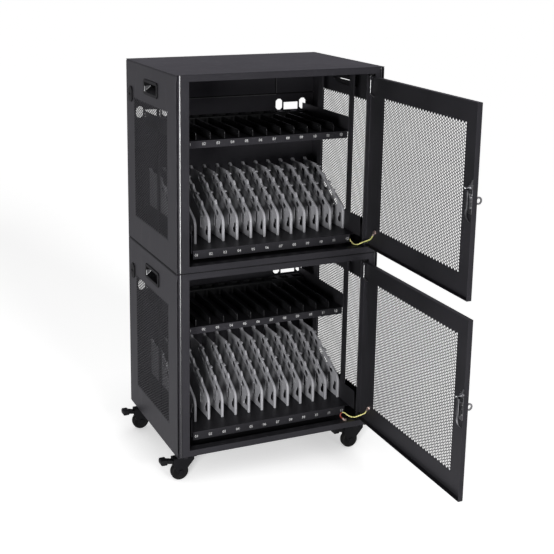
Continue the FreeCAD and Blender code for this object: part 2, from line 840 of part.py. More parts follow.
def fork_cheek(y):
    # A cheek that narrows from the wide head to a round eye at the axle.
    eye = vec(-caster_trail, y, wheel_z)
    rear = -pedal_pivot_back - fork_rear_margin
    head = [vec(rear, y, fork_top - fork_rear_depth), vec(rear, y, fork_top), vec(fork_front, y, fork_top),
            vec(fork_front, y, fork_top - fork_front_depth)]
    touch_front = tangent_point(eye, fork_eye_radius, head[-1], -1)
    touch_rear = tangent_point(eye, fork_eye_radius, head[0], 1)
    outline = [touch_rear] + head + [touch_front]
    edges = [Part.makeLine(a, b) for a, b in zip(outline, outline[1:])]
    edges.append(Part.Arc(touch_front, eye - vec(0, 0, fork_eye_radius), touch_rear).toShape())
    return Part.Face(Part.Wire(edges)).extrude(vec(0, fork_sheet, 0))


def fork():
    # Two cheeks with axle heads, a head plate and a ball race, then the axle and the pin of the pedal.
    rear = -pedal_pivot_back - fork_rear_margin
    head = box((rear, fork_front), (-fork_outer, fork_outer), (fork_top - fork_sheet, fork_top))
    race_high = caster_height - caster_plate_sheet - race_gap
    rings = ((race_bottom_diameter, fork_top), (race_top_diameter, race_high))
    race = Part.makeLoft([many_sided_wire(race_sides, diameter / 2, vec(0, 0, z), vec(0, 0, 1))
                          for diameter, z in rings], True, True)
    eye, pivot = vec(-caster_trail, 0, wheel_z), vec(-pedal_pivot_back, 0, pedal_pivot_height)
    inside, outside = vec(0, fork_inner, 0), vec(0, fork_outer, 0)
    heads = [hexagon(axle_head_across_flats, eye + outside * end, vec(0, end * axle_head_height, 0))
             for end in (-1, 1)]
    king_bore = rod(kingpin_diameter + 2 * kingpin_clearance, vec(0, 0, fork_top - fork_sheet),
                    vec(0, 0, caster_height))
    frame = fused(head, fork_cheek(-fork_outer), fork_cheek(fork_inner), race, *heads).cut(king_bore)
    pins = ((axle_diameter, eye), (pedal_pin_diameter, pivot))
    return [frame] + [many_sided_rod(pin_sides, diameter, middle - inside, middle + inside)
                      for diameter, middle in pins]


def wheel():
    # A turned wheel: flat sides and a tread with bevelled shoulders.
    half, tread = wheel_width / 2, wheel_diameter / 2
    bore = axle_diameter / 2 + axle_clearance
    right = [(half, bore), (half, tread - wheel_shoulder), (half - wheel_shoulder, tread)]
    section = right + [(-y, r) for y, r in reversed(right)]
    face = Part.Face(Part.makePolygon([vec(0, y, r) for y, r in section + section[:1]]))
    turned = face.revolve(vec(0, 0, 0), vec(0, 1, 0), 360)
    return moved(turned, -caster_trail, 0, wheel_z)


def pedal():
    # A brake pedal: a block on its pin, an arm that rises outwards and a broad toe, in one side view.
    pivot = vec(-pedal_pivot_back, 0, pedal_pivot_height)
    half, toe_half = fork_inner - pedal_side_gap, pedal_toe_width / 2
    tip_x, tip_z = pivot.x - pedal_reach, pivot.z + pedal_rise
    toe_x = tip_x + pedal_toe_length
    r = pedal_hub_radius
    arm = front_prism([(pivot.x + r, pivot.z + r), (pivot.x - r, pivot.z + r), (toe_x, tip_z + pedal_sheet),
                       (toe_x, tip_z), (pivot.x - r, pivot.z - r), (pivot.x + r, pivot.z - r)], -half, half)
    toe = front_prism([(tip_x, tip_z - pedal_sheet), (tip_x, tip_z), (toe_x, tip_z + pedal_sheet),
                       (toe_x, tip_z + pedal_sheet - pedal_toe_height)], -toe_half, toe_half)
    across = vec(0, half, 0)
    bore = rod(pedal_pin_diameter + 2 * pedal_pin_clearance, pivot - across, pivot + across)
    return fused(arm, toe).cut(bore)


def caster_places():
    x, y = half_width - caster_inset_x, half_depth - caster_inset_y
    return {"front_left": (-x, -y), "front_right": (x, -y), "rear_left": (-x, y), "rear_right": (x, y)}


# The whole cabinet, one file for each node

def lifted(shapes, module):
    return [moved(shape, z=module_base[module]) for shape in shapes]


def save_module(module):
    save(module + "_front_frame", lifted([front_frame()], module))
    save(module + "_top_panel", lifted([top_panel()], module))
    save(module + "_bottom_panel", lifted([bottom_panel()], module))
    left, right = both_sides(left_side_panel())
    save(module + "_left_side_panel", lifted([left], module))
    save(module + "_right_side_panel", lifted([right], module))
    save(module + "_side_meshes", lifted(both_sides(left_side_mesh()), module))
    save(module + "_back_panel", lifted([back_panel()], module))
    save(module + "_shelf", lifted([shelf()], module))
    save(module + "_shelf_dividers", lifted(bay_dividers(), module))
    save(module + "_tray", lifted([tray()], module))
    save(module + "_tray_dividers", lifted(tray_dividers(), module))
    save(module + "_power_strip", lifted([power_strip()], module))
    save(module + "_earth_wire", lifted([earth_wire(module)], module))


def save_door(module):
    pieces = {"frame": [door_frame()], "mesh": [door_mesh()], "hinge_pins": hinge_pins(),
              "lock_body": [lock_body()], "lock_hook": [lock_hook()], "key": [key()]}
    for name, shapes in pieces.items():
        save(module + "_door_" + name, lifted([opened(shape, module) for shape in shapes], module))
    save(module + "_door_earth_terminal", lifted([door_terminal(module)], module))


def save_shared():
    shared = {"rear_covers": rear_covers(), "shelf_uprights": uprights(),
              "side_handles": both_sides(left_handle()), "cable_anchors": both_sides(left_anchor()),
              "hinge_blocks": hinge_blocks()}
    for name, shapes in shared.items():
        save(name, [piece for module in modules for piece in lifted(shapes, module)])
    terminals = [piece for module in modules for piece in lifted([frame_terminal(module)], module)]
    save("frame_earth_terminals", terminals)


def save_casters():
    places = caster_places()
    save("caster_plates", [moved(mounting_plate(), x, y) for x, y in places.values()])
    save("caster_bolts", [moved(bolt, x, y) for x, y in places.values() for bolt in plate_bolts()])
    for corner, (x, y) in places.items():
        save(corner + "_fork", [moved(piece, x, y) for piece in fork()])
        save(corner + "_wheel", [moved(wheel(), x, y)])
        save(corner + "_pedal", [moved(pedal(), x, y)])


os.makedirs("parts", exist_ok=True)
for name in modules:
    save_module(name)
    save_door(name)
save_shared()
save_casters()
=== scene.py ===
import bpy
import bmesh
import math
from mathutils import Matrix, Vector
from mathutils.geometry import tessellate_polygon


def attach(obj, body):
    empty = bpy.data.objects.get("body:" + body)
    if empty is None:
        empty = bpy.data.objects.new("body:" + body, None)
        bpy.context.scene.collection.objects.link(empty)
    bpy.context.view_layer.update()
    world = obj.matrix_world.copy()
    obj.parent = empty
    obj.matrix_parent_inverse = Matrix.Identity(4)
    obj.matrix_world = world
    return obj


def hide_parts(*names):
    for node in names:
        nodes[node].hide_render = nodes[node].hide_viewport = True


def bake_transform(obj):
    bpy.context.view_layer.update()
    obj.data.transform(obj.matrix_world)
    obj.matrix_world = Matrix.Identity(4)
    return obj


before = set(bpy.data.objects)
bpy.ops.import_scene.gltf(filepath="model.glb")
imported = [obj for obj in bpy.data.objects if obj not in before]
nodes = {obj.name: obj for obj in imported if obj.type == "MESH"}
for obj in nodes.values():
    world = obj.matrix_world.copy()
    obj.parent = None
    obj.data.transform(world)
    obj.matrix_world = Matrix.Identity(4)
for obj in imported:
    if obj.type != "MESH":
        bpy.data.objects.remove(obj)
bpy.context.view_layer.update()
scene = bpy.context.scene
scene.view_settings.view_transform = "Standard"
mm = 0.001

cabinet = {  # shared sizes in mm and degrees, heights count from a module's base, bases from the floor
    "bases": {"lower": 78.0, "upper": 600.0},
    "swing": {"lower": 89.3, "upper": 88.3},
    "hinge": (262.5, -203.0),
    "doorOuter": -210.0,
    "doorInner": -208.5,
    "halfWidth": 300.0,
    "halfDepth": 210.0,
    "slotPitch": 41.3,
    "slots": 12,
}
modules = ("lower", "upper")


# places

def lifted(module):
    return Matrix.Translation((0, 0, cabinet["bases"][module] * mm))


def swung(module):  # from the closed door to the open one, lifted to its module
    hinge = Vector((*cabinet["hinge"], 0)) * mm
    turn = Matrix.Rotation(math.radians(cabinet["swing"][module]), 4, "Z")
    return lifted(module) @ Matrix.Translation(hinge) @ turn @ Matrix.Translation(-hinge)


def slotPlace(step):  # across the cabinet, counted in slots from the left end of the row
    return (step - cabinet["slots"] / 2) * cabinet["slotPitch"]


# camera

cameraView = {"place": (-1211.3, -2752.9, 1450.4), "yaw": 22.99, "pitch": -12.90, "roll": 0.47,
              "focalPixels": 1081.4, "centre": (236.8, 188.7), "framePixels": 554, "sensor": 36.0,
              "clip": (0.05, 200.0)}


def makeCamera(s):
    yaw, pitch, roll = (math.radians(s[k]) for k in ("yaw", "pitch", "roll"))
    level = Vector((math.sin(yaw), math.cos(yaw), 0)) * math.cos(pitch)
    forward = level + Vector((0, 0, math.sin(pitch)))
    flatRight = Vector((math.cos(yaw), -math.sin(yaw), 0))
    flatUp = flatRight.cross(forward)
    right = math.cos(roll) * flatRight + math.sin(roll) * flatUp
    up = math.cos(roll) * flatUp - math.sin(roll) * flatRight
    lens = bpy.data.cameras.new("camera")
    size = s["framePixels"]
    lens.sensor_width = s["sensor"]
    lens.lens = s["focalPixels"] / size * s["sensor"]
    lens.shift_x = 0.5 - s["centre"][0] / size
    lens.shift_y = s["centre"][1] / size - 0.5
    lens.clip_start, lens.clip_end = s["clip"]
    camera = bpy.data.objects.new("camera", lens)
    turn = Matrix((right, up, -forward)).transposed().to_4x4()
    camera.matrix_world = Matrix.Translation(Vector(s["place"]) * mm) @ turn
    scene.collection.objects.link(camera)
    scene.camera = camera


makeCamera(cameraView)
print("camera set")


# finishes

class Wire:
    def __init__(self, finish, socket):
        self.finish, self.socket = finish, socket

    def combined(self, kind, a, b):
        return self.finish.add("ShaderNodeMath", {"operation": kind}, {0: a, 1: b})

    def __add__(self, other):
        return self.combined("ADD", self, other)

    def __radd__(self, other):
        return self.combined("ADD", other, self)

    def __sub__(self, other):
        return self.combined("SUBTRACT", self, other)

    def __rsub__(self, other):
        return self.combined("SUBTRACT", other, self)

    def __mul__(self, other):
        return self.combined("MULTIPLY", self, other)

    def __rmul__(self, other):
        return self.combined("MULTIPLY", other, self)


class Finish:
    def __init__(self, tree):
        self.tree = tree
        tree.nodes.clear()

    def add(self, kind, settings=None, sockets=None, out=0):
        node = self.tree.nodes.new(kind)
        for key, value in (settings or {}).items():
            setattr(node, key, value)
        for key, value in (sockets or {}).items():
            if isinstance(value, Wire):
                self.tree.links.new(value.socket, node.inputs[key])
            else:
                node.inputs[key].default_value = value
        return Wire(self, node.outputs[out]) if node.outputs else None

    def noise(self, place, scale, detail):
        return self.add("ShaderNodeTexNoise", {}, {"Vector": place, "Scale": scale, "Detail": detail,
                                                   "Roughness": 0.55})

    def streaks(self, place, stretch, detail):
        stretched = self.add("ShaderNodeVectorMath", {"operation": "MULTIPLY"}, {0: place, 1: stretch})
        return self.noise(stretched, 1.0, detail)

    def spread(self, value, low, high):
        return self.add("ShaderNodeMapRange", {}, {"Value": value, "From Min": low, "From Max": high})

    def tint(self, factor, a, b):
        return self.stain(factor, (*a, 1), b)

    def stain(self, factor, a, b):  # a comes from a node, or has its alpha
        return self.add("ShaderNodeMix", {"data_type": "RGBA"}, {0: factor, 6: a, 7: (*b, 1)}, out=2)

    def bump(self, height, distance, strength):
        return self.add("ShaderNodeBump", {}, {"Height": height, "Distance": distance, "Strength": strength})

    def surface(self, sockets):
        shader = self.add("ShaderNodeBsdfPrincipled", {}, sockets)
        self.add("ShaderNodeOutputMaterial", {}, {"Surface": shader})


def newFinish(name):
    material = bpy.data.materials.new(name)
    material.use_nodes = True
    finish = Finish(material.node_tree)
    return material, finish, finish.add("ShaderNodeTexCoord", out="Object")


# A pattern is a noise scale or stretch with its detail, a spread is where the noise starts and ends.
coatPattern = {"grainDetail": 2.0, "patch": (7.0, 4.0), "patchSpread": (0.3, 0.7),
               "speck": (900.0, 1.0), "speckSpread": (0.66, 0.74), "speckShare": 0.35,
               "rub": ((40.0, 40.0, 9.0), 5.0), "rubSpread": (0.55, 0.8),
               "roughGrain": 0.08, "roughRub": 0.06, "roughPatch": 0.04, "refraction": 1.5, "bump": 0.5}


def powderCoat(name, s):
    p = coatPattern
    material, f, place = newFinish(name)
    grain = f.noise(place, s["grainScale"], p["grainDetail"])
    patch = f.spread(f.noise(place, *p["patch"]), *p["patchSpread"])
    speck = f.spread(f.noise(place, *p["speck"]), *p["speckSpread"])
    rub = f.spread(f.streaks(place, *p["rub"]), *p["rubSpread"])
    colour = f.stain(speck * p["speckShare"], f.tint(patch, s["dark"], s["light"]), s["fleck"])
    rough = s["rough"] + p["roughGrain"] * grain - p["roughRub"] * rub + p["roughPatch"] * patch
    f.surface({"Base Color": colour, "Roughness": rough, "IOR": p["refraction"],
               "Specular IOR Level": s["shine"], "Specular Tint": (*s["tint"], 1),
               "Normal": f.bump(grain, s["grainDepth"], p["bump"])})
    return material


mouldPattern = {"grainDetail": 2.0, "flow": ((60.0, 12.0, 12.0), 4.0), "flowSpread": (0.35, 0.7),
                "scuff": ((30.0, 160.0, 160.0), 5.0), "scuffSpread": (0.62, 0.75), "scuffShare": 0.3,
                "roughGrain": 0.1, "roughScuff": 0.08, "refraction": 1.48, "bump": 0.5}


def moulding(name, s):
    p = mouldPattern
    material, f, place = newFinish(name)
    grain = f.noise(place, s["grainScale"], p["grainDetail"])
    flow = f.spread(f.streaks(place, *p["flow"]), *p["flowSpread"])
    scuff = f.spread(f.streaks(place, *p["scuff"]), *p["scuffSpread"])
    colour = f.stain(scuff * p["scuffShare"], f.tint(flow, s["dark"], s["light"]), s["scuff"])
    rough = s["rough"] + p["roughGrain"] * grain - p["roughScuff"] * scuff
    f.surface({"Base Color": colour, "Roughness": rough, "IOR": p["refraction"],
               "Specular IOR Level": s["shine"], "Normal": f.bump(grain, s["grainDepth"], p["bump"])})
    return material


steelPattern = {"brushDetail": 4.0, "cloud": (120.0, 3.0), "cloudSpread": (0.35, 0.7),
                "dull": (450.0, 2.0), "dullSpread": (0.6, 0.75), "dullShare": 0.4,
                "roughBrush": 0.16, "roughDull": 0.12, "depth": 0.00004, "bump": 0.4}


def platedSteel(name, s):
    p = steelPattern
    material, f, place = newFinish(name)
    brush = f.streaks(place, s["brush"], p["brushDetail"])
    cloud = f.spread(f.noise(place, *p["cloud"]), *p["cloudSpread"])
    dull = f.spread(f.noise(place, *p["dull"]), *p["dullSpread"])
    colour = f.stain(dull * p["dullShare"], f.tint(cloud, s["dark"], s["light"]), s["dull"])
    rough = s["rough"] + p["roughBrush"] * brush + p["roughDull"] * dull
    f.surface({"Base Color": colour, "Metallic": 1.0, "Roughness": rough,
               "Normal": f.bump(brush, p["depth"], p["bump"])})
    return material


def wireJacket(name, s):
    material, f, place = newFinish(name)
    across = f.add("ShaderNodeUVMap", {"uv_map": "jacket"})
    turns = f.add("ShaderNodeSeparateXYZ", {}, {0: across})
    wave = f.add("ShaderNodeMath", {"operation": "FRACT"}, {0: turns + s["phase"]})
    stripe = f.spread(wave, s["share"] - s["border"], s["share"] + s["border"])
    soil = f.spread(f.noise(place, *s["patch"]), *s["patchSpread"])
    colour = f.stain(soil * s["soilShare"], f.tint(stripe, s["green"], s["yellow"]), s["soil"])
    f.surface({"Base Color": colour, "Roughness": s["rough"] + s["roughSoil"] * soil,
               "Specular IOR Level": s["shine"],
               "Normal": f.bump(f.noise(place, *s["grain"]), s["grainDepth"], s["bump"])})
    return material


def paintedNumber(name, s):
    material, f, place = newFinish(name)
    worn = f.spread(f.noise(place, *s["wear"]), *s["wearSpread"])
    colour = f.tint(worn, s["white"], s["worn"])
    f.surface({"Base Color": colour, "Roughness": s["rough"] + s["roughWorn"] * worn,
               "Normal": f.bump(f.noise(place, *s["grain"]), s["grainDepth"], s["bump"])})
    return material


coat = powderCoat("black powder coat", {
    "dark": (0.0085, 0.0085, 0.0092), "light": (0.0125, 0.0122, 0.0136), "fleck": (0.045, 0.045, 0.05),
    "rough": 0.4, "shine": 0.29, "tint": (0.9, 0.865, 1.0), "grainScale": 1300.0, "grainDepth": 0.00006})
meshCoat = powderCoat("perforated sheet coat", {
    "dark": (0.010, 0.010, 0.011), "light": (0.015, 0.015, 0.0165), "fleck": (0.04, 0.04, 0.045),
    "rough": 0.42, "shine": 0.25, "tint": (0.93, 0.9, 1.0), "grainScale": 1300.0, "grainDepth": 0.00005})
# Partly painted highlight: a lighter, glossier copy of the coat that brightens the corner beads, on top of
# the key lamp's real reflection in them.
beadHighlightCoat = powderCoat("corner bead highlight coat", {
    "dark": (0.0115, 0.0115, 0.0125), "light": (0.0165, 0.0162, 0.018), "fleck": (0.045, 0.045, 0.05),
    "rough": 0.27, "shine": 0.74, "tint": (1.0, 1.0, 1.0), "grainScale": 1300.0, "grainDepth": 0.00003})
forkPaint = powderCoat("caster fork paint", {
    "dark": (0.004, 0.004, 0.0045), "light": (0.007, 0.007, 0.0075), "fleck": (0.03, 0.03, 0.03),
    "rough": 0.4, "shine": 0.07, "tint": (0.93, 0.9, 1.0), "grainScale": 600.0, "grainDepth": 0.00004})
greyPlastic = moulding("grey divider plastic", {
    "dark": (0.235, 0.235, 0.25), "light": (0.28, 0.28, 0.295), "scuff": (0.4, 0.4, 0.4),
    "rough": 0.45, "shine": 0.35, "grainScale": 1500.0, "grainDepth": 0.00003})
glossBlack = moulding("glossy black plastic", {
    "dark": (0.004, 0.004, 0.0045), "light": (0.007, 0.007, 0.0075), "scuff": (0.03, 0.03, 0.03),
    "rough": 0.17, "shine": 0.34, "grainScale": 1200.0, "grainDepth": 0.00002})
# Painted highlight: a pale grey for the glints along the inner edges of the handle pockets.
paintedHighlightEdge = moulding("painted highlight handle edge", {
    "dark": (0.22, 0.22, 0.225), "light": (0.28, 0.28, 0.285), "scuff": (0.36, 0.36, 0.36),
    "rough": 0.4, "shine": 0.4, "grainScale": 1200.0, "grainDepth": 0.00003})
mattBlack = moulding("matt black plastic", {
    "dark": (0.004, 0.004, 0.0045), "light": (0.007, 0.007, 0.0075), "scuff": (0.025, 0.025, 0.025),
    "rough": 0.42, "shine": 0.1, "grainScale": 1200.0, "grainDepth": 0.00003})
# Painted light: a mid grey for the lit cheeks of the handle pockets and for the highlight along the rear
# covers' seams.
paintedLightGrey = moulding("painted light grey", {
    "dark": (0.055, 0.055, 0.058), "light": (0.07, 0.07, 0.074), "scuff": (0.12, 0.12, 0.12),
    "rough": 0.45, "shine": 0.3, "grainScale": 1200.0, "grainDepth": 0.00003})
tyreRubber = moulding("caster tread", {
    "dark": (0.004, 0.004, 0.004), "light": (0.008, 0.008, 0.008), "scuff": (0.03, 0.029, 0.028),
    "rough": 0.55, "shine": 0.06, "grainScale": 800.0, "grainDepth": 0.00006})
sleeveRed = moulding("terminal sleeve", {
    "dark": (0.16, 0.022, 0.014), "light": (0.24, 0.04, 0.025), "scuff": (0.4, 0.15, 0.1),
    "rough": 0.4, "shine": 0.4, "grainScale": 900.0, "grainDepth": 0.00003})
zinc = platedSteel("zinc plate", {
    "dark": (0.42, 0.42, 0.43), "light": (0.6, 0.6, 0.61), "dull": (0.3, 0.3, 0.31),
    "rough": 0.22, "brush": (900.0, 900.0, 60.0)})
pinSteel = platedSteel("bright pin steel", {
    "dark": (0.34, 0.34, 0.34), "light": (0.42, 0.42, 0.42), "dull": (0.25, 0.25, 0.25),
    "rough": 0.3, "brush": (900.0, 900.0, 60.0)})
lockSteel = platedSteel("dark lock steel", {
    "dark": (0.09, 0.09, 0.095), "light": (0.14, 0.14, 0.145), "dull": (0.06, 0.06, 0.06),
    "rough": 0.3, "brush": (900.0, 900.0, 60.0)})
keyNickel = platedSteel("key nickel", {
    "dark": (0.26, 0.26, 0.26), "light": (0.38, 0.38, 0.38), "dull": (0.2, 0.2, 0.2),
    "rough": 0.2, "brush": (60.0, 900.0, 900.0)})
tin = platedSteel("terminal tin", {
    "dark": (0.62, 0.5, 0.46), "light": (0.76, 0.63, 0.58), "dull": (0.42, 0.3, 0.27),
    "rough": 0.3, "brush": (300.0, 300.0, 300.0)})
jacket = wireJacket("earth wire jacket", {
    "green": (0.3, 0.33, 0.09), "yellow": (0.78, 0.72, 0.3), "soil": (0.4, 0.36, 0.15),
    "share": 0.28, "border": 0.03, "phase": 0.1, "patch": (300.0, 3.0), "patchSpread": (0.45, 0.75),
    "soilShare": 0.25, "rough": 0.36, "roughSoil": 0.15, "shine": 0.5,
    "grain": (900.0, 2.0), "grainDepth": 0.00003, "bump": 0.4})
numberWhite = paintedNumber("printed number", {
    "white": (0.46, 0.46, 0.46), "worn": (0.34, 0.34, 0.34), "wear": (700.0, 3.0), "wearSpread": (0.5, 0.8),
    "rough": 0.5, "roughWorn": 0.2, "grain": (1800.0, 2.0), "grainDepth": 0.00002, "bump": 0.4})
print("finishes made")


# mesh helpers, all in mm until a piece is finished

def softCorners(points, radius, steps=5):
    out = []
    longest = 0.48  # of the shorter side next to a corner
    for i, point in enumerate(points):
        p, a, b = Vector(point), Vector(points[i - 1]), Vector(points[(i + 1) % len(points)])
        u, v = a - p, b - p
        half = u.angle(v) / 2
        reach = min(radius / math.tan(half), longest * min(u.length, v.length))
        u.normalize()
        v.normalize()
        for k in range(steps + 1):
            t = k / steps
            out.append(p + u * reach * (1 - t) ** 2 + v * reach * t ** 2)
    return out


def oval(centre, length, width, angle=0.0, steps=18):
    c, s = math.cos(math.radians(angle)), math.sin(math.radians(angle))
    out = []
    for k in range(steps):
        a = 2 * math.pi * k / steps
        x, y = length / 2 * math.cos(a), width / 2 * math.sin(a)
        out.append(Vector((centre[0] + x * c - y * s, centre[1] + x * s + y * c)))
    return out


def rectangle(x0, y0, x1, y1):
    return [(x0, y0), (x1, y0), (x1, y1), (x0, y1)]


def turnedEnd(radius, low, high, bevel):  # the profile of a pin, stud or screw head with a bevelled end
    return [(0, low), (radius, low), (radius, high - bevel), (radius - bevel, high), (0, high)]


def addPrism(bm, outline, low, high, axis="x", holes=(), slot=0):
    def spot(p, level):
        return {"x": (level, p[0], p[1]), "y": (p[0], level, p[1]), "z": (p[0], p[1], level)}[axis]

    loops = [[Vector((p[0], p[1], 0)) for p in loop] for loop in (outline, *holes)]
    flat = [p for loop in loops for p in loop]
    lows = [bm.verts.new(spot(p, low)) for p in flat]
    highs = [bm.verts.new(spot(p, high)) for p in flat]
    faces = []
    for tri in tessellate_polygon(loops):
        for side in (lows, highs):
            faces.append(bm.faces.new([side[i] for i in tri]))
    start = 0
    for loop in loops:
        count = len(loop)
        for i in range(count):
            a, b = start + i, start + (i + 1) % count
            faces.append(bm.faces.new((lows[a], lows[b], highs[b], highs[a])))
        start += count
    for face in faces:
        face.material_index = slot


def addBlock(bm, low, high, slot=0):
    addPrism(bm, rectangle(low[0], low[1], high[0], high[1]), low[2], high[2], "z", slot=slot)


def addLathe(bm, profile, centre, axis="z", steps=40, slot=0):
    rings = []
    for radius, height in profile:
        ring = []
        for k in range(steps if radius > 0 else 1):
            a = 2 * math.pi * k / steps
            p = (radius * math.cos(a), radius * math.sin(a), height)
            p = {"z": p, "y": (p[0], p[2], p[1])}[axis]
            ring.append(bm.verts.new(Vector(centre) + Vector(p)))
        rings.append(ring)
    for first, second in zip(rings, rings[1:]):
        for k in range(steps):
            a, b = first[k % len(first)], first[(k + 1) % len(first)]
            c, d = second[(k + 1) % len(second)], second[k % len(second)]
            face = bm.faces.new(list(dict.fromkeys((a, b, c, d))))
            face.material_index = slot
    for ring in (rings[0], rings[-1]):
        if len(ring) > 2:
            bm.faces.new(ring).material_index = slot


def addTube(bm, points, radius, sides=12, uvName=None):
    layer = bm.loops.layers.uv.new(uvName) if uvName else None
    points = [Vector(p) for p in points]
    turns = [2 * math.pi * k / sides for k in range(sides)]
    side = None
    rings = []
    for i, p in enumerate(points):
        along = (points[min(i + 1, len(points) - 1)] - points[max(i - 1, 0)]).normalized()
        if side is None:
            side = along.orthogonal().normalized()
        side = (side - along * side.dot(along)).normalized()
        other = along.cross(side)
        rings.append([bm.verts.new(p + (side * math.cos(a) + other * math.sin(a)) * radius) for a in turns])
    for i in range(len(rings) - 1):
        for k in range(sides):
            n = (k + 1) % sides
            face = bm.faces.new((rings[i][k], rings[i][n], rings[i + 1][n], rings[i + 1][k]))
            if layer:
                for loop, uv in zip(face.loops, ((k, i), (k + 1, i), (k + 1, i + 1), (k, i + 1))):
                    loop[layer].uv = (uv[0] / sides, uv[1] / len(rings))
    for ring in (rings[0], rings[-1]):
        bm.faces.new(ring)


def softEdges(bm, width, segments=2, angle=30.0):
    same, flat = 1e-4, math.radians(0.5)
    bmesh.ops.remove_doubles(bm, verts=bm.verts, dist=same)
    bmesh.ops.recalc_face_normals(bm, faces=bm.faces)
    bmesh.ops.dissolve_limit(bm, angle_limit=flat, verts=bm.verts, edges=bm.edges)
    inner = [e for e in bm.edges if len(e.link_faces) == 2]
    sharp = [e for e in inner if e.calc_face_angle(0) > math.radians(angle)]
    bmesh.ops.bevel(bm, geom=sharp, offset=width, segments=segments, affect="EDGES", profile=0.5,
                    clamp_overlap=True)


def finished(name, bm, materials, body, replaced=None, place=None, sharp=35.0):
    bmesh.ops.recalc_face_normals(bm, faces=bm.faces)
    bm.transform(Matrix.Scale(mm, 4))
    if place is not None:
        bm.transform(place)
    mesh = bpy.data.meshes.new(name)
    bm.to_mesh(mesh)
    bm.free()
    for material in materials if isinstance(materials, list) else [materials]:
        mesh.materials.append(material)
    mesh.polygons.foreach_set("use_smooth", [True] * len(mesh.polygons))
    mesh.set_sharp_from_angle(angle=math.radians(sharp))
    piece = bpy.data.objects.new(name, mesh)
    scene.collection.objects.link(piece)
    if body:
        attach(piece, body)
    if replaced:
        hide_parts(replaced)
    return piece


# earth wires, which bend between the cabinet and its doors

earthWire = {
    "diameter": 3.6, "rail": 18.0, "sleeve": 0.24, "splineSteps": 10,
    "start": {  # from the hinge axis, at the height of the bottom rail
        "upper": ((-29.3, 53.5, 18.3), (-24.1, 48.0, 14.0), (-23.1, 39.5, 7.0), (-22.9, 25.0, 3.0),
                  (-20.5, 16.0, 2.4), (-16.0, 8.5, 5.5), (-12.0, 0.5, 11.0), (-8.0, -8.5, 16.5)),
        "lower": ((-49.5, 10.0, 6.6), (-54.5, 11.5, 11.0), (-54.5, 13.0, 17.5), (-49.5, 14.0, 22.5),
                  (-41.0, 14.5, 21.5), (-32.5, 14.0, 13.5), (-23.5, 12.0, 6.8), (-16.0, 7.0, 5.2),
                  (-11.5, -1.0, 8.4), (-7.5, -9.0, 14.5)),
    },
    # away from the hinge, in from the door's inner face, and up
    "onDoor": ((22.0, 3.8, 42.0), (33.0, 3.3, 50.0), (39.5, 3.2, 59.5)),
}


def earthWirePoints(module, s):
    x, y = cabinet["hinge"]
    fixed = [Vector((x + a, y + b, s["rail"] + c)) * mm for a, b, c in s["start"][module]]
    moved = [Vector((x - run, cabinet["doorInner"] + depth, z)) * mm for run, depth, z in s["onDoor"]]
    return [lifted(module) @ p for p in fixed] + [swung(module) @ p for p in moved]


def heldMesh(holder):  # the mesh of a curve or text, whose own object is removed
    scene.collection.objects.link(holder)
    mesh = bpy.data.meshes.new_from_object(holder.evaluated_get(bpy.context.evaluated_depsgraph_get()))
    bpy.data.objects.remove(holder)
    return mesh


def splinePoints(points, name, s):
    curve = bpy.data.curves.new(name, "CURVE")
    curve.dimensions = "3D"
    spline = curve.splines.new("NURBS")
    spline.points.add(len(points) - 1)
    for spot, point in zip(spline.points, points):
        spot.co = (*point, 1)
    spline.order_u = 3
    spline.use_endpoint_u = True
    spline.resolution_u = s["splineSteps"]
    holder = bpy.data.objects.new(name, curve)
    line = heldMesh(holder)
    found = [v.co.copy() for v in line.vertices]
    bpy.data.meshes.remove(line)
    return found


def makeEarthWire(module, s):
    line = splinePoints(earthWirePoints(module, s), module + "WireLine", s)
    bm = bmesh.new()
    addTube(bm, [p / mm for p in line], s["diameter"] / 2, uvName="jacket")
    layer = bm.loops.layers.uv["jacket"]
    for face in bm.faces:  # the lower wire starts in a red sleeve
        if module == "lower" and all(loop[layer].uv.y < s["sleeve"] for loop in face.loops):
            face.material_index = 1
    wire = finished(module + "_earth_wire_jacket", bm, [jacket, sleeveRed], None)
    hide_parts(module + "_earth_wire")
    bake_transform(wire)


for module in modules:
    makeEarthWire(module, earthWire)


# perforated windows

perforation = {"pitch": 8.0, "hole": 6.5, "inset": 0.1}


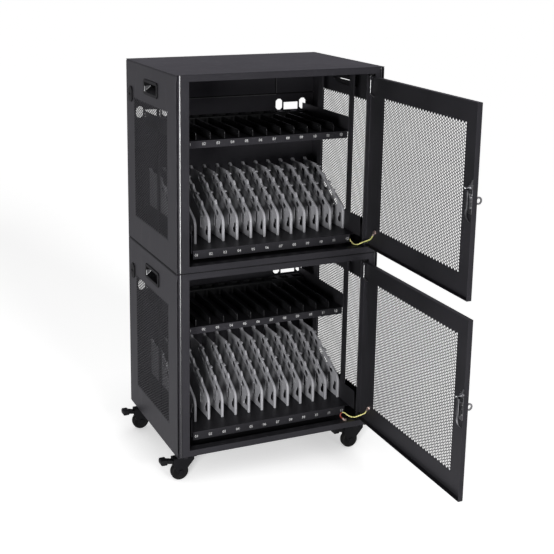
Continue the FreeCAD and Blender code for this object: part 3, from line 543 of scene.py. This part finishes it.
def perforated(width, height, thickness, s):
    # A sheet about the origin in XZ with a hexagonal pattern of hexagonal holes.
    bm = bmesh.new()
    pitch, stepX = s["pitch"], s["pitch"] * math.sqrt(3) / 2
    reach, inner = pitch / math.sqrt(3), s["hole"] / math.sqrt(3)
    columns = int((width - 2 * reach) / stepX) + 1
    rows = int(height / pitch)
    corners = [(math.cos(math.radians(60 * k)), math.sin(math.radians(60 * k))) for k in range(6)]
    levels = (0.0, thickness)
    left, right, top, bottom = [], [], [], []

    def ring(x, y, z, size):
        return [bm.verts.new((x + cx * size, y, z + cz * size)) for cx, cz in corners]

    for c in range(columns):
        x = (c - (columns - 1) / 2) * stepX
        first, last, tall = c == 0, c == columns - 1, c % 2 == 0
        count = rows if tall else rows - 1
        for r in range(count):
            z = (r - (count - 1) / 2) * pitch
            webs = [ring(x, y, z, reach) for y in levels]
            holes = [ring(x, y, z, inner) for y in levels]
            for k in range(6):
                n = (k + 1) % 6
                bm.faces.new((webs[0][k], webs[0][n], holes[0][n], holes[0][k]))
                bm.faces.new((webs[1][n], webs[1][k], holes[1][k], holes[1][n]))
                bm.faces.new((holes[0][k], holes[0][n], holes[1][n], holes[1][k]))
            p = [(x + cx * reach, z + cz * reach) for cx, cz in corners]
            left += [(p[2], p[3]), (p[3], p[4])] if first else []
            right += [(p[1], p[0]), (p[0], p[5])] if last else []
            if r == count - 1:
                top.append((p[2], p[1]))
                top += [(p[3], p[2])] if tall and not first else []
                top += [(p[1], p[0])] if tall and not last else []
            if r == 0:
                bottom.append((p[4], p[5]))
                bottom += [(p[3], p[4])] if tall and not first else []
                bottom += [(p[5], p[0])] if tall and not last else []
    w, h = width / 2, height / 2

    def addFlat(points):
        for y in levels:
            bm.faces.new([bm.verts.new((p[0], y, p[1])) for p in points])

    for runs, x, z in ((left, -w, None), (right, w, None), (top, None, h), (bottom, None, -h)):
        for a, b in runs:
            addFlat([a, b] + [(p[0] if x is None else x, p[1] if z is None else z) for p in (b, a)])
    inX = (columns - 1) / 2 * stepX + reach / 2
    inZ = rows / 2 * pitch
    for sx in (-1, 1):  # the corners, then the rim
        for sz in (-1, 1):
            addFlat(rectangle(sx * inX, sz * inZ, sx * w, sz * h))
    rim = rectangle(-w, -h, w, h)
    for a, b in zip(rim, rim[1:] + rim[:1]):
        edge = [(a[0], 0, a[1]), (b[0], 0, b[1]), (b[0], thickness, b[1]), (a[0], thickness, a[1])]
        bm.faces.new([bm.verts.new(p) for p in edge])
    return bm


doorWindow = {"width": 403.8, "height": 369.8, "centreX": -4.5, "centreZ": 261.0, "thickness": 1.2}
sideWindow = {"width": 283.8, "height": 344.8, "centreZ": 248.5, "thickness": 1.0}


def makeDoorWindow(module, s):
    bm = perforated(s["width"], s["height"], s["thickness"], perforation)
    face = cabinet["doorOuter"] + perforation["inset"]
    bm.transform(Matrix.Translation((s["centreX"], face, s["centreZ"])))
    finished(module + "_door_perforation", bm, meshCoat, module + "_door", module + "_door_mesh",
             swung(module))


def makeSideWindows(module, s):
    bm = bmesh.new()
    face = cabinet["halfWidth"] - perforation["inset"]
    for side in (-1, 1):
        part = perforated(s["width"], s["height"], s["thickness"], perforation)
        part.transform(Matrix.Rotation(math.radians(90 * side), 4, "Z"))
        part.transform(Matrix.Translation((side * face, 0, s["centreZ"])))
        holder = bpy.data.meshes.new("part")
        part.to_mesh(holder)
        part.free()
        bm.from_mesh(holder)
        bpy.data.meshes.remove(holder)
    finished(module + "_side_perforation", bm, meshCoat, "cabinet", module + "_side_meshes", lifted(module))


for module in modules:
    makeDoorWindow(module, doorWindow)
    makeSideWindows(module, sideWindow)
print("perforated windows made")


# grey dividers of the trays

trayDivider = {
    "thickness": 1.5, "inset": 1.3, "length": 264.0, "height": 157.0, "start": -100.0, "tray": 46.0,
    "nose": 45.0, "noseRun": 19.0, "noseSteps": 10, "slope": 27.6, "rearRound": 8.0, "rearCut": 2.4,
    "rim": 7.4, "rimWidth": 6.0, "rimRound": 2.4, "rimSteps": 4,
    "ribDown": 25.0, "rib": (4.6, 2.6), "ribRound": 0.9, "ribRun": (26.0, 186.0),
    "knuckles": (71.0, 145.0), "horns": (106.0, 180.0), "rearHook": 255.0,
    "hookThickness": 6.0, "hookRound": 2.0,
    "knuckle": ((-14.0, -2.5), (-8.0, 1.6), (-3.0, 4.6), (1.0, 6.2), (4.5, 5.6), (6.6, 3.2), (7.6, -2.5)),
    "horn": ((14.0, -2.5), (10.5, 2.6), (5.5, 6.2), (0.0, 8.0), (-4.4, 8.2), (-5.2, 6.6), (-3.0, 4.8),
             (0.2, 3.6), (2.0, 1.6), (2.2, -2.5)),
    "eyes": ((49.0, 71.0), (82.0, 89.5), (116.0, 105.5), (149.0, 122.0), (182.0, 138.0)),
    "eye": (22.0, 14.5),
    "keyHole": ((14.0, 15.5), (34.0, 15.5), (34.0, 26.0), (27.5, 32.0), (27.5, 43.5), (14.0, 43.5)),
    "keyRound": 4.0, "handHole": (51.0, 26.0, 67.0, 62.0), "handRound": 7.5,
    "ring": 2.2, "ringThickness": 3.4, "ringLap": 0.8,
}


def addSweep(bm, path, section, x):
    # Sweeps a section of (across, inwards) points along a path in YZ.
    rings = []
    for k, p in enumerate(path):
        run = (path[min(k + 1, len(path) - 1)] - path[max(k - 1, 0)]).normalized()
        inward = Vector((run.y, -run.x))
        rings.append([bm.verts.new((x + a, p.x + inward.x * b, p.y + inward.y * b)) for a, b in section])
    for first, second in zip(rings, rings[1:]):
        for k in range(len(section)):
            n = (k + 1) % len(section)
            bm.faces.new((first[k], first[n], second[n], second[k]))
    for ring in (rings[0], rings[-1]):
        bm.faces.new(ring)


def grown(loop, width):
    middle = sum((Vector(p) for p in loop), Vector((0, 0))) / len(loop)
    return [Vector(p) + (Vector(p) - middle).normalized() * width for p in loop]


def makeTrayDividers(module, s):
    slope = math.radians(s["slope"])
    along, up = Vector((math.cos(slope), math.sin(slope))), Vector((-math.sin(slope), math.cos(slope)))
    base = Vector((s["start"], s["tray"]))
    knee = base + Vector((0, s["nose"] + s["noseRun"]))
    turn = math.pi / 2 - slope
    radius = s["noseRun"] / math.tan(turn / 2)
    angles = [turn * k / s["noseSteps"] for k in range(s["noseSteps"] + 1)]

    def nose(r):
        return [base + Vector((radius - r * math.cos(a), s["nose"] + r * math.sin(a))) for a in angles]

    front, inset = nose(radius), s["inset"]
    crownZ = s["tray"] + s["height"]
    crown = Vector((knee.x + (crownZ - knee.y) / math.tan(slope), crownZ))
    rear, big, small = base.x + s["length"], s["rearRound"], s["rearCut"]
    outline = [base + Vector((inset, 0))] + nose(radius - inset)
    outline += [crown + Vector((inset / math.sin(slope), 0)), Vector((rear - big, crownZ)),
                Vector((rear - small, crownZ - small)), Vector((rear, crownZ - big)), Vector((rear, base.y))]
    holes = [oval(base + Vector(eye), *s["eye"], s["slope"]) for eye in s["eyes"]]
    holes.append([base + p for p in softCorners(s["keyHole"], s["keyRound"])])
    hand = [base + p for p in softCorners(rectangle(*s["handHole"]), s["handRound"])]
    half = s["rim"] / 2
    section = softCorners(rectangle(-half, 0.0, half, s["rimWidth"]), s["rimRound"], steps=3)
    path = [base] + front
    path += [front[-1].lerp(crown, (k + 1) / s["rimSteps"]) for k in range(s["rimSteps"])]
    rib = [knee + along * a - up * s["ribDown"] for a in s["ribRun"]]
    ribHalf = s["rib"][0] / 2
    ribSection = softCorners(rectangle(-ribHalf, 0.0, ribHalf, s["rib"][1]), s["ribRound"], steps=2)
    feet = [(knee + along * a, along, up, "knuckle") for a in s["knuckles"]]
    feet += [(knee + along * a, along, up, "horn") for a in s["horns"]]
    feet.append((Vector((base.x + s["rearHook"], crownZ)), Vector((1, 0)), Vector((0, 1)), "knuckle"))
    hooks = []
    for foot, run, rise, kind in feet:
        hooks.append(softCorners([foot + run * a + rise * b for a, b in s[kind]], s["hookRound"], steps=3))
    bm = bmesh.new()

    def addPlate(shape, x, thickness, cuts=()):
        addPrism(bm, shape, x - thickness / 2, x + thickness / 2, "x", cuts)

    for i in range(cabinet["slots"] + 1):
        x = slotPlace(i)
        addPlate(outline, x, s["thickness"], holes + [grown(hand, s["ringLap"])])
        addSweep(bm, path, section, x)
        addPlate(grown(hand, s["ring"]), x, s["ringThickness"], [hand])
        addSweep(bm, rib, ribSection, x)
        for hook in hooks:
            addPlate(hook, x, s["hookThickness"])
    finished(module + "_grey_dividers", bm, greyPlastic, "cabinet", module + "_tray_dividers",
             lifted(module))


# black dividers of the shelves

shelfDivider = {"thickness": 2.6, "near": -104.0, "far": 121.0, "bottom": 332.0, "top": 355.0, "corner": 9.0,
                "edge": 0.5}


def makeShelfDividers(module, s):
    near, far, bottom, top = s["near"], s["far"], s["bottom"], s["top"]
    rounded = softCorners([(near, bottom), (near, top), (far, top), (far, bottom)], s["corner"], steps=6)
    upper = [p for p in rounded if p[1] > bottom + s["corner"]]
    outline = [(near, bottom)] + upper + [(far, bottom)]
    bm = bmesh.new()
    for i in range(1, cabinet["slots"]):
        x = slotPlace(i)
        addPrism(bm, outline, x - s["thickness"] / 2, x + s["thickness"] / 2, "x")
    softEdges(bm, s["edge"])
    finished(module + "_black_dividers", bm, glossBlack, "cabinet", module + "_shelf_dividers",
             lifted(module))


# numbers on the lips

numbers = {"size": 10.6, "depth": 0.12, "steps": 3, "tray": (-162.0, 32.8), "shelf": (-109.0, 323.0)}


def makeNumbers(module, row, s):
    face, height = s[row]
    upright = Matrix.Rotation(math.pi / 2, 4, "X")
    bm = bmesh.new()
    for i in range(cabinet["slots"]):
        curve = bpy.data.curves.new("number", "FONT")
        curve.body = f"{i + 1:02d}"
        curve.size = s["size"]
        curve.align_x = "CENTER"
        curve.align_y = "CENTER"
        curve.extrude = s["depth"]
        curve.resolution_u = s["steps"]
        mesh = heldMesh(bpy.data.objects.new("number", curve))
        mesh.transform(Matrix.Translation((slotPlace(i + 0.5), face - s["depth"], height)) @ upright)
        bm.from_mesh(mesh)
        bpy.data.meshes.remove(mesh)
    finished(f"{module}_{row}_numbers", bm, numberWhite, "cabinet", None, lifted(module))


for module in modules:
    makeTrayDividers(module, trayDivider)
    makeShelfDividers(module, shelfDivider)
    makeNumbers(module, "tray", numbers)
    makeNumbers(module, "shelf", numbers)
print("dividers and numbers made")


# caster wheels

casterPlaces = {"front_left": (-265.0, -174.0), "front_right": (265.0, -174.0), "rear_left": (-265.0, 174.0),
                "rear_right": (265.0, 174.0)}
casterWheel = {
    "radius": 25.0, "width": 20.0, "trail": 18.0,
    # the tread's points count from the rim and the face, the hub's are radii and depths from the face
    "tread": ((-6.5, 0.6), (-5.6, 0.0), (-3.2, 0.3), (-1.0, 2.2), (-0.15, 5.0)),
    "hub": ((4.05, 1.5), (7.5, 0.4), (8.2, 1.6), (9.0, 3.2), (16.2, 3.2), (17.0, 0.9)),
    "ribs": 6, "ribTurn": 15.0, "ribRun": (8.0, 16.8), "ribHalf": 0.9, "ribRise": 1.8, "dish": 3.3,
}


def makeWheel(corner, s):
    x, y = casterPlaces[corner]
    h, r = s["width"] / 2, s["radius"]
    centre = (x - s["trail"], y, r)
    bm = bmesh.new()
    tread = [(r + a, b - h) for a, b in s["tread"]]
    hub = [(a, b - h) for a, b in s["hub"]] + tread[:1]
    addLathe(bm, tread + [(r, 0.0)] + [(a, -b) for a, b in reversed(tread)], centre, "y", steps=56)
    addLathe(bm, hub + [(a, -b) for a, b in reversed(hub)], centre, "y", slot=1)
    (near, far), w = s["ribRun"], s["ribHalf"]
    for k in range(s["ribs"]):
        a = math.radians(360 / s["ribs"] * k + s["ribTurn"])
        out, wide = Vector((math.cos(a), 0, math.sin(a))), Vector((-math.sin(a), 0, math.cos(a)))
        foot = [out * d + wide * c for d, c in ((near, -w), (far, -w), (far, w), (near, w))]
        for side in (-1, 1):
            levels = [side * (h - s["dish"] + rise) for rise in (0.0, s["ribRise"])]
            v = [bm.verts.new(Vector(centre) + Vector((0, level, 0)) + p) for level in levels for p in foot]
            for f in ((4, 5, 6, 7), (0, 1, 5, 4), (1, 2, 6, 5), (2, 3, 7, 6), (3, 0, 4, 7)):
                bm.faces.new([v[i] for i in f]).material_index = 1
    finished(corner + "_tread_and_hub", bm, [tyreRubber, mattBlack], corner + "_wheel", corner + "_wheel")


for corner in casterPlaces:
    makeWheel(corner, casterWheel)
print("wheels made")


# hinge pins, of which the upper one has a bent tail

hingePin = {"top": 503.7, "shoulder": 496.5, "lugLow": 486.5, "lug": 5.0, "lugFar": 268.0, "lugRound": 1.5,
            "diameter": 5.0, "bevel": 0.8, "middle": 261.0,
            "tail": 3.0, "tailLap": 2.0, "bend": 4.0, "foot": 446.0, "footReach": 20.0, "footDrop": 4.5}


def makeHingePins(module, s):
    x, y = cabinet["hinge"]
    t, bend = s["tail"] / 2, s["bend"]
    bm = bmesh.new()
    route = [(x, y, s["lugLow"] + s["tailLap"])]
    for turn in range(0, 90, 15):
        a = math.radians(turn)
        route.append((x - bend + bend * math.cos(a), y, s["foot"] + t + bend - bend * math.sin(a)))
    route.append((x - s["footReach"], y, s["foot"] + t - s["footDrop"]))
    addTube(bm, route, t, sides=16)
    pin = turnedEnd(s["diameter"] / 2, s["lugLow"], s["top"], s["bevel"])
    lug = rectangle(x - s["lug"], cabinet["doorInner"], s["lugFar"], y + s["lug"])
    lug = softCorners(lug, s["lugRound"], steps=3)
    for flip in (1, -1):
        def level(z):
            return s["middle"] + flip * (z - s["middle"])

        addLathe(bm, [(radius, level(z)) for radius, z in pin], (x, y, 0), "z", steps=24)
        addPrism(bm, lug, level(s["lugLow"]), level(s["shoulder"]), "z", slot=1)
    finished(module + "_hinge_pin_rods", bm, [pinSteel, coat], module + "_door", module + "_door_hinge_pins",
             swung(module))


for module in modules:
    makeHingePins(module, hingePin)


# flattened beads down the front corners, in a lighter, glossier coat that paints part of their highlight

cornerBead = {"middle": (291.1, -207.8), "width": 6.4, "depth": 3.4, "round": 0.6, "turn": 26.0,
              "low": 2.5, "high": 520.5, "sharp": 5.0}


def makeCornerBeads(module, s):
    bm = bmesh.new()
    w, d = s["width"] / 2, s["depth"] / 2
    for side in (-1, 1):
        turn = Matrix.Rotation(math.radians(side * s["turn"]), 2)
        middle = Vector((side * s["middle"][0], s["middle"][1]))
        outline = [middle + turn @ p for p in softCorners(rectangle(-w, -d, w, d), s["round"], steps=4)]
        addPrism(bm, outline, s["low"], s["high"], "z")
    finished(module + "_corner_beads", bm, beadHighlightCoat, "cabinet", None, lifted(module), s["sharp"])


for module in modules:
    makeCornerBeads(module, cornerBead)


# rounded inner edges at both ends of the handle pockets, pale for a painted highlight, with a grey cheek
# plate for painted light

handleEdge = {"middle": (-8.0, 463.0), "ends": 49.8, "mouth": 49.2, "front": 300.6, "low": (300.0, -13.4),
              "high": (283.0, 1.6), "radius": 1.5, "cheek": 0.25}


def makeHandleEdges(module, s):
    y, z = s["middle"]
    lowX, low = s["low"][0], z + s["low"][1]
    highX, high = s["high"][0], z + s["high"][1]
    bm = bmesh.new()
    for side in (-1, 1):
        for end in (-1, 1):
            cheek, mouth, front = y + end * s["ends"], y + end * s["mouth"], side * s["front"]
            addTube(bm, [(side * lowX, cheek, low), (side * highX, cheek, high)], s["radius"])
            addTube(bm, [(front, mouth, low), (front, mouth, high)], s["radius"])
            plate = [(side * lowX, low), (side * lowX, high), (side * highX, high)]
            # a thin grey plate on each cheek: painted light where the pocket's cheek is lit
            addPrism(bm, plate, cheek, cheek + end * s["cheek"], "y", slot=1)
    finished(module + "_handle_edge_highlights", bm, [paintedHighlightEdge, paintedLightGrey], "cabinet", None, lifted(module))


for module in modules:
    makeHandleEdges(module, handleEdge)


# black strip between the modules, painted shade for the gap where they meet, which stops short of the rear
# face

moduleGapShade = {"height": 2.2, "proud": 0.3, "sheet": 1.0}


def makeModuleGapShade(s):
    x, y, proud, sheet = cabinet["halfWidth"], cabinet["halfDepth"], s["proud"], s["sheet"]
    middle = cabinet["bases"]["upper"]
    outer = rectangle(-x - proud, -y - proud, x + proud, y - sheet / 2)
    inner = rectangle(sheet - x, sheet - y, x - sheet, y - sheet)
    bm = bmesh.new()
    addPrism(bm, outer, middle - s["height"] / 2, middle + s["height"] / 2, "z", [inner])
    finished("module_gap_shade", bm, mattBlack, "cabinet")


makeModuleGapShade(moduleGapShade)


# laps behind the seams of the rear covers, black for painted shade in the seams, with a pale strip for a
# painted highlight

coverLap = {"face": 208.8, "sheet": 0.8, "reach": 1.8, "edge": 1.7, "halfWidth": 296.0, "seam": 400.0,
            "split": 170.0, "high": 516.0}


def makeCoverLaps(module, s):
    bm = bmesh.new()
    far, near, wide = s["face"], s["face"] - s["sheet"], s["halfWidth"]
    low, high = s["seam"] - s["reach"], s["seam"] + s["reach"]
    left, right = s["split"] - s["reach"], s["split"] + s["reach"]
    # black laps: painted shade in the seams
    addBlock(bm, (-wide, near, low), (wide, far, high))
    addBlock(bm, (left, near, high), (right, far, s["high"]))
    # pale strips: painted highlight along the seams
    addBlock(bm, (-wide, near, low - s["edge"]), (right + s["edge"], far, low), 1)
    addBlock(bm, (right, near, high), (right + s["edge"], far, s["high"]), 1)
    finished(module + "_cover_seam_shade_and_highlight", bm, [mattBlack, paintedLightGrey], "cabinet", None, lifted(module))


for module in modules:
    makeCoverLaps(module, coverLap)


# brake pedals

brakePedal = {"pivot": (30.0, 55.0), "hub": 4.5, "half": 8.0, "reach": 44.0, "pin": 2.6,
              "toe": (19.0, 52.0, 67.5),  # length, bottom, top
              "toeHalf": 13.0, "toeRound": 5.0, "toeEdge": 2.2, "toeSharp": 40.0,
              "arm": (54.5, 65.5), "armLap": 3.0, "armRound": 1.5,
              "ridges": (5.5, 9.5, 13.5), "ridgeHalf": 0.8, "ridgeInset": 4.0, "ridgeProud": 0.5}


def makePedal(corner, s):
    cx, cy = casterPlaces[corner]
    px, pz, r = cx - s["pivot"][0], s["pivot"][1], s["hub"]
    tipX = px - s["reach"]
    toe, low, high = s["toe"]
    bm = bmesh.new()
    block = softCorners(rectangle(tipX, low, tipX + toe, high), s["toeRound"])
    addPrism(bm, block, cy - s["toeHalf"], cy + s["toeHalf"], "y")
    softEdges(bm, s["toeEdge"], segments=3, angle=s["toeSharp"])
    armEnd, (armLow, armHigh) = tipX + toe - s["armLap"], s["arm"]
    arm = [(px + r, pz + r), (px - r, pz + r), (armEnd, armHigh), (armEnd, armLow), (px - r, pz - r),
           (px + r, pz - r)]
    bore = oval((px, pz), 2 * s["pin"], 2 * s["pin"])
    addPrism(bm, softCorners(arm, s["armRound"], steps=3), cy - s["half"], cy + s["half"], "y", [bore])
    d, wide = s["ridgeHalf"], s["toeHalf"] - s["ridgeInset"]
    for run in s["ridges"]:  # across the toe, for grip
        x = tipX + run
        addBlock(bm, (x - d, cy - wide, high - d), (x + d, cy + wide, high + s["ridgeProud"]))
    finished(corner + "_brake_pedal", bm, mattBlack, corner + "_pedal", corner + "_pedal")


for corner in casterPlaces:
    makePedal(corner, brakePedal)
print("hinge pins, trim and pedals made")


# door locks: a case on its plate, a stud for the hook, a sprung tongue, and the hook that turns

doorLock = {
    "x": -236.5, "z": 261.0, "plug": 9.1, "rosette": (12.0, 7.0, 3.0),  # half width, corner, proud
    "plate": (-8.5, -30.0, 8.5, 42.0), "plateRound": 3.0, "sheet": 1.8,
    "case": (-4.5, -18.0, 6.5, 28.0), "caseRound": 2.0, "caseDepth": (4.5, 12.5), "edge": 0.7,
    "pillar": (-3.0, -14.0, 5.0, 15.5), "pillarLap": (0.2, 1.0),
    "stud": (2.6, 19.0), "studBevel": 1.0, "studZ": 34.0,  # radius and reach, as for the screws
    "screws": ((-6.4, 11.0), (-6.4, -14.0)), "screw": (1.9, 4.4), "screwBevel": 0.7,
    "tongue": ((9.5, -17.0), (15.5, -36.0), (1.9, -50.0)), "tongueSteps": 12, "tongueSheet": 1.4,
    "tongueHalf": 3.5,
    "hookDepth": (2.1, 4.1), "hub": 5.8, "hubProud": (0.1, 0.3), "boreGap": 0.2,
    "jaw": (-8.6, -9.6, 8.6, 5.4),  # its middle from the stud, outer and inner radius
    "jawFrom": 70.0, "jawTurn": 220.0, "jawSteps": 20,
    "strut": ((2.2, -1.5), (-2.6, -2.4), (-11.4, 16.6), (-9.4, 19.4), (-7.2, 17.8)), "strutLift": 0.15,
    "neck": ((0.5, -4.2), (-3.6, 1.6), (-10.6, -0.9), (-9.6, -4.2)), "neckLift": 0.08, "armRound": 1.0,
}


def makeLock(module, s):
    x, z, skin, outer = s["x"], s["z"], cabinet["doorInner"], cabinet["doorOuter"]
    plate = skin + s["sheet"]
    bm = bmesh.new()

    def boxed(bounds):
        return rectangle(x + bounds[0], z + bounds[1], x + bounds[2], z + bounds[3])

    near, far = s["caseDepth"]
    addPrism(bm, softCorners(boxed(s["plate"]), s["plateRound"], steps=4), skin, plate, "y", slot=1)
    case = softCorners(boxed(s["case"]), s["caseRound"], steps=4)
    addPrism(bm, case, skin + near, skin + far, "y", slot=1)
    softEdges(bm, s["edge"])
    x0, z0, x1, z1 = s["pillar"]
    low, high = s["pillarLap"]
    addBlock(bm, (x + x0, plate - low, z + z0), (x + x1, skin + near + high, z + z1), 1)
    half, corner, proud = s["rosette"]
    rosette = softCorners(boxed((-half, -half, half, half)), corner, steps=6)
    addPrism(bm, rosette, outer - proud, outer, "y", [oval((x, z), s["plug"], s["plug"], steps=24)])
    r, out = s["stud"]
    addLathe(bm, turnedEnd(r, plate, skin + out, s["studBevel"]), (x, 0, z + s["studZ"]), "y", steps=20)
    a, b, c = (Vector(p) for p in s["tongue"])
    steps = [k / s["tongueSteps"] for k in range(s["tongueSteps"] + 1)]
    bend = [a * (1 - t) ** 2 + b * 2 * t * (1 - t) + c * t ** 2 for t in steps]
    back = [p + Vector((1, 1)).normalized() * s["tongueSheet"] for p in reversed(bend)]
    strip = [(skin + p.x, z + p.y) for p in bend + back]
    addPrism(bm, strip, x - s["tongueHalf"], x + s["tongueHalf"], "x")
    r, out = s["screw"]
    for dx, dz in s["screws"]:
        addLathe(bm, turnedEnd(r, plate, skin + out, s["screwBevel"]), (x + dx, 0, z + dz), "y", steps=14)
    finished(module + "_lock_case", bm, [zinc, lockSteel], module + "_door", module + "_door_lock_body",
             swung(module))


def makeLockHook(module, s):
    x, z = s["x"], s["z"] + s["studZ"]
    near, far = (cabinet["doorInner"] + d for d in s["hookDepth"])
    bm = bmesh.new()
    jawX, jawZ, outer, inner = s["jaw"]
    turns = [math.radians(s["jawFrom"] + s["jawTurn"] * k / s["jawSteps"]) for k in range(s["jawSteps"] + 1)]
    jaw = [(x + jawX + outer * math.cos(a), z + jawZ + outer * math.sin(a)) for a in turns]
    jaw += [(x + jawX + inner * math.cos(a), z + jawZ + inner * math.sin(a)) for a in reversed(turns)]
    addPrism(bm, jaw, near, far, "y")
    size = 2 * s["stud"][0] + s["boreGap"]
    hub = oval((x, z), 2 * s["hub"], 2 * s["hub"], steps=28)
    low, high = s["hubProud"]
    addPrism(bm, hub, near - low, far + high, "y", [oval((x, z), size, size, steps=20)])
    for shape, lift in ((s["strut"], s["strutLift"]), (s["neck"], s["neckLift"])):
        arm = softCorners([(x + a, z + b) for a, b in shape], s["armRound"], steps=3)
        addPrism(bm, arm, near + lift, far + lift, "y")
    finished(module + "_lock_hook_plate", bm, zinc, module + "_hook", module + "_door_lock_hook",
             swung(module))


for module in modules:
    makeLock(module, doorLock)
    makeLockHook(module, doorLock)
print("locks made")


# finishes of the CAD pieces that stay

keptFinish = {
    "front_frame": coat, "top_panel": coat, "bottom_panel": coat, "left_side_panel": coat,
    "right_side_panel": coat, "back_panel": coat, "rear_covers": coat, "shelf": coat, "shelf_uprights": coat,
    "tray": coat, "door_frame": coat, "power_strip": mattBlack, "side_handles": mattBlack,
    "cable_anchors": mattBlack, "hinge_blocks": mattBlack, "door_key": keyNickel, "door_earth_terminal": tin,
    "frame_earth_terminals": tin, "caster_plates": forkPaint, "caster_bolts": forkPaint, "fork": forkPaint,
}
keptEdge = {"same": 1e-6, "width": 0.0005, "segments": 2, "angle": 40.0}


def dressKept(s):
    for name, node in nodes.items():
        if node.hide_render:
            continue
        key = next(k for k in sorted(keptFinish, key=len, reverse=True) if name.endswith(k))
        node.data.materials.clear()
        node.data.materials.append(keptFinish[key])
        weld = node.modifiers.new("weld", "WELD")
        weld.merge_threshold = s["same"]
        edge = node.modifiers.new("edges", "BEVEL")
        edge.width = s["width"]
        edge.segments = s["segments"]
        edge.limit_method = "ANGLE"
        edge.angle_limit = math.radians(s["angle"])


dressKept(keptEdge)
print("kept pieces dressed")


# floor and light

studio = {
    "world": {"soft": 0.19, "glossy": 0.4, "seen": 1.0},
    "mirrorTint": (0.975, 0.945, 1.06),
    "floor": {"colour": 0.9, "size": 60.0, "seen": 0.72, "glossy": 0.27},
    "contactShadow": {"reach": 0.42, "depth": 0.62, "samples": 16},
    "sun": {"turn": (72.0, 0.0, 7.0), "strength": 1.25, "angle": 14.0},
    "key": {"place": (-1.444, -2.017, 0.49), "aim": (0.0, -0.1, 0.49), "size": (0.45, 0.95), "power": 70.0},
}
white = (1, 1, 1)


def rayKinds(f):
    seen = f.add("ShaderNodeLightPath", out="Is Camera Ray")
    return seen, Wire(f, seen.socket.node.outputs["Is Glossy Ray"])


def makeWorld(s):
    world = bpy.data.worlds.new("studio")
    world.use_nodes = True
    scene.world = world
    f = Finish(world.node_tree)
    seen, glossy = rayKinds(f)
    level = s["world"]
    soft = level["soft"]
    strength = soft + seen * (level["seen"] - soft) + glossy * (level["glossy"] - soft)
    colour = f.tint(glossy, white, s["mirrorTint"])
    sky = f.add("ShaderNodeBackground", {}, {"Color": colour, "Strength": strength})
    f.add("ShaderNodeOutputWorld", {}, {"Surface": sky})


def makeFloor(s):
    half = s["floor"]["size"] / 2
    mesh = bpy.data.meshes.new("floor")
    corners = [(x, y, 0) for x, y in rectangle(-half, -half, half, half)]
    mesh.from_pydata(corners, [], [(0, 1, 2, 3)])
    floor = bpy.data.objects.new("floor", mesh)
    scene.collection.objects.link(floor)
    material = bpy.data.materials.new("pale floor")
    material.use_nodes = True
    f = Finish(material.node_tree)
    seen, glossy = rayKinds(f)
    strength = seen * s["floor"]["seen"] + glossy * s["floor"]["glossy"]
    diffuse = f.add("ShaderNodeBsdfDiffuse", {}, {"Color": (s["floor"]["colour"],) * 3 + (1,)})
    near = s["contactShadow"]
    # painted contact shadow: ambient occlusion darkens the floor's glow near the cabinet
    contactShadow = f.add("ShaderNodeAmbientOcclusion", {"samples": near["samples"]}, {"Distance": near["reach"]},
                    out="AO")
    shade = contactShadow * near["depth"] + (1 - near["depth"])
    colour = f.add("ShaderNodeMix", {"data_type": "RGBA", "blend_type": "MULTIPLY"},
                   {0: 1.0, 6: f.tint(glossy, white, s["mirrorTint"]), 7: shade}, out=2)
    glow = f.add("ShaderNodeEmission", {}, {"Color": colour, "Strength": strength})
    both = f.add("ShaderNodeAddShader", {}, {0: diffuse, 1: glow})
    f.add("ShaderNodeOutputMaterial", {}, {"Surface": both})
    mesh.materials.append(material)


def makeSun(s):
    light = bpy.data.lights.new("front", "SUN")
    light.energy, light.angle = s["strength"], math.radians(s["angle"])
    lamp = bpy.data.objects.new("front", light)
    lamp.rotation_euler = [math.radians(a) for a in s["turn"]]
    scene.collection.objects.link(lamp)


def makeKeyLamp(s):
    light = bpy.data.lights.new("key", "AREA")
    light.shape = "RECTANGLE"
    light.energy, (light.size, light.size_y) = s["power"], s["size"]
    lamp = bpy.data.objects.new("key", light)
    lamp.location = s["place"]
    lamp.rotation_euler = (Vector(s["aim"]) - Vector(s["place"])).to_track_quat("-Z", "Y").to_euler()
    scene.collection.objects.link(lamp)


makeWorld(studio)
makeFloor(studio)
makeSun(studio["sun"])
makeKeyLamp(studio["key"])
print("studio set")
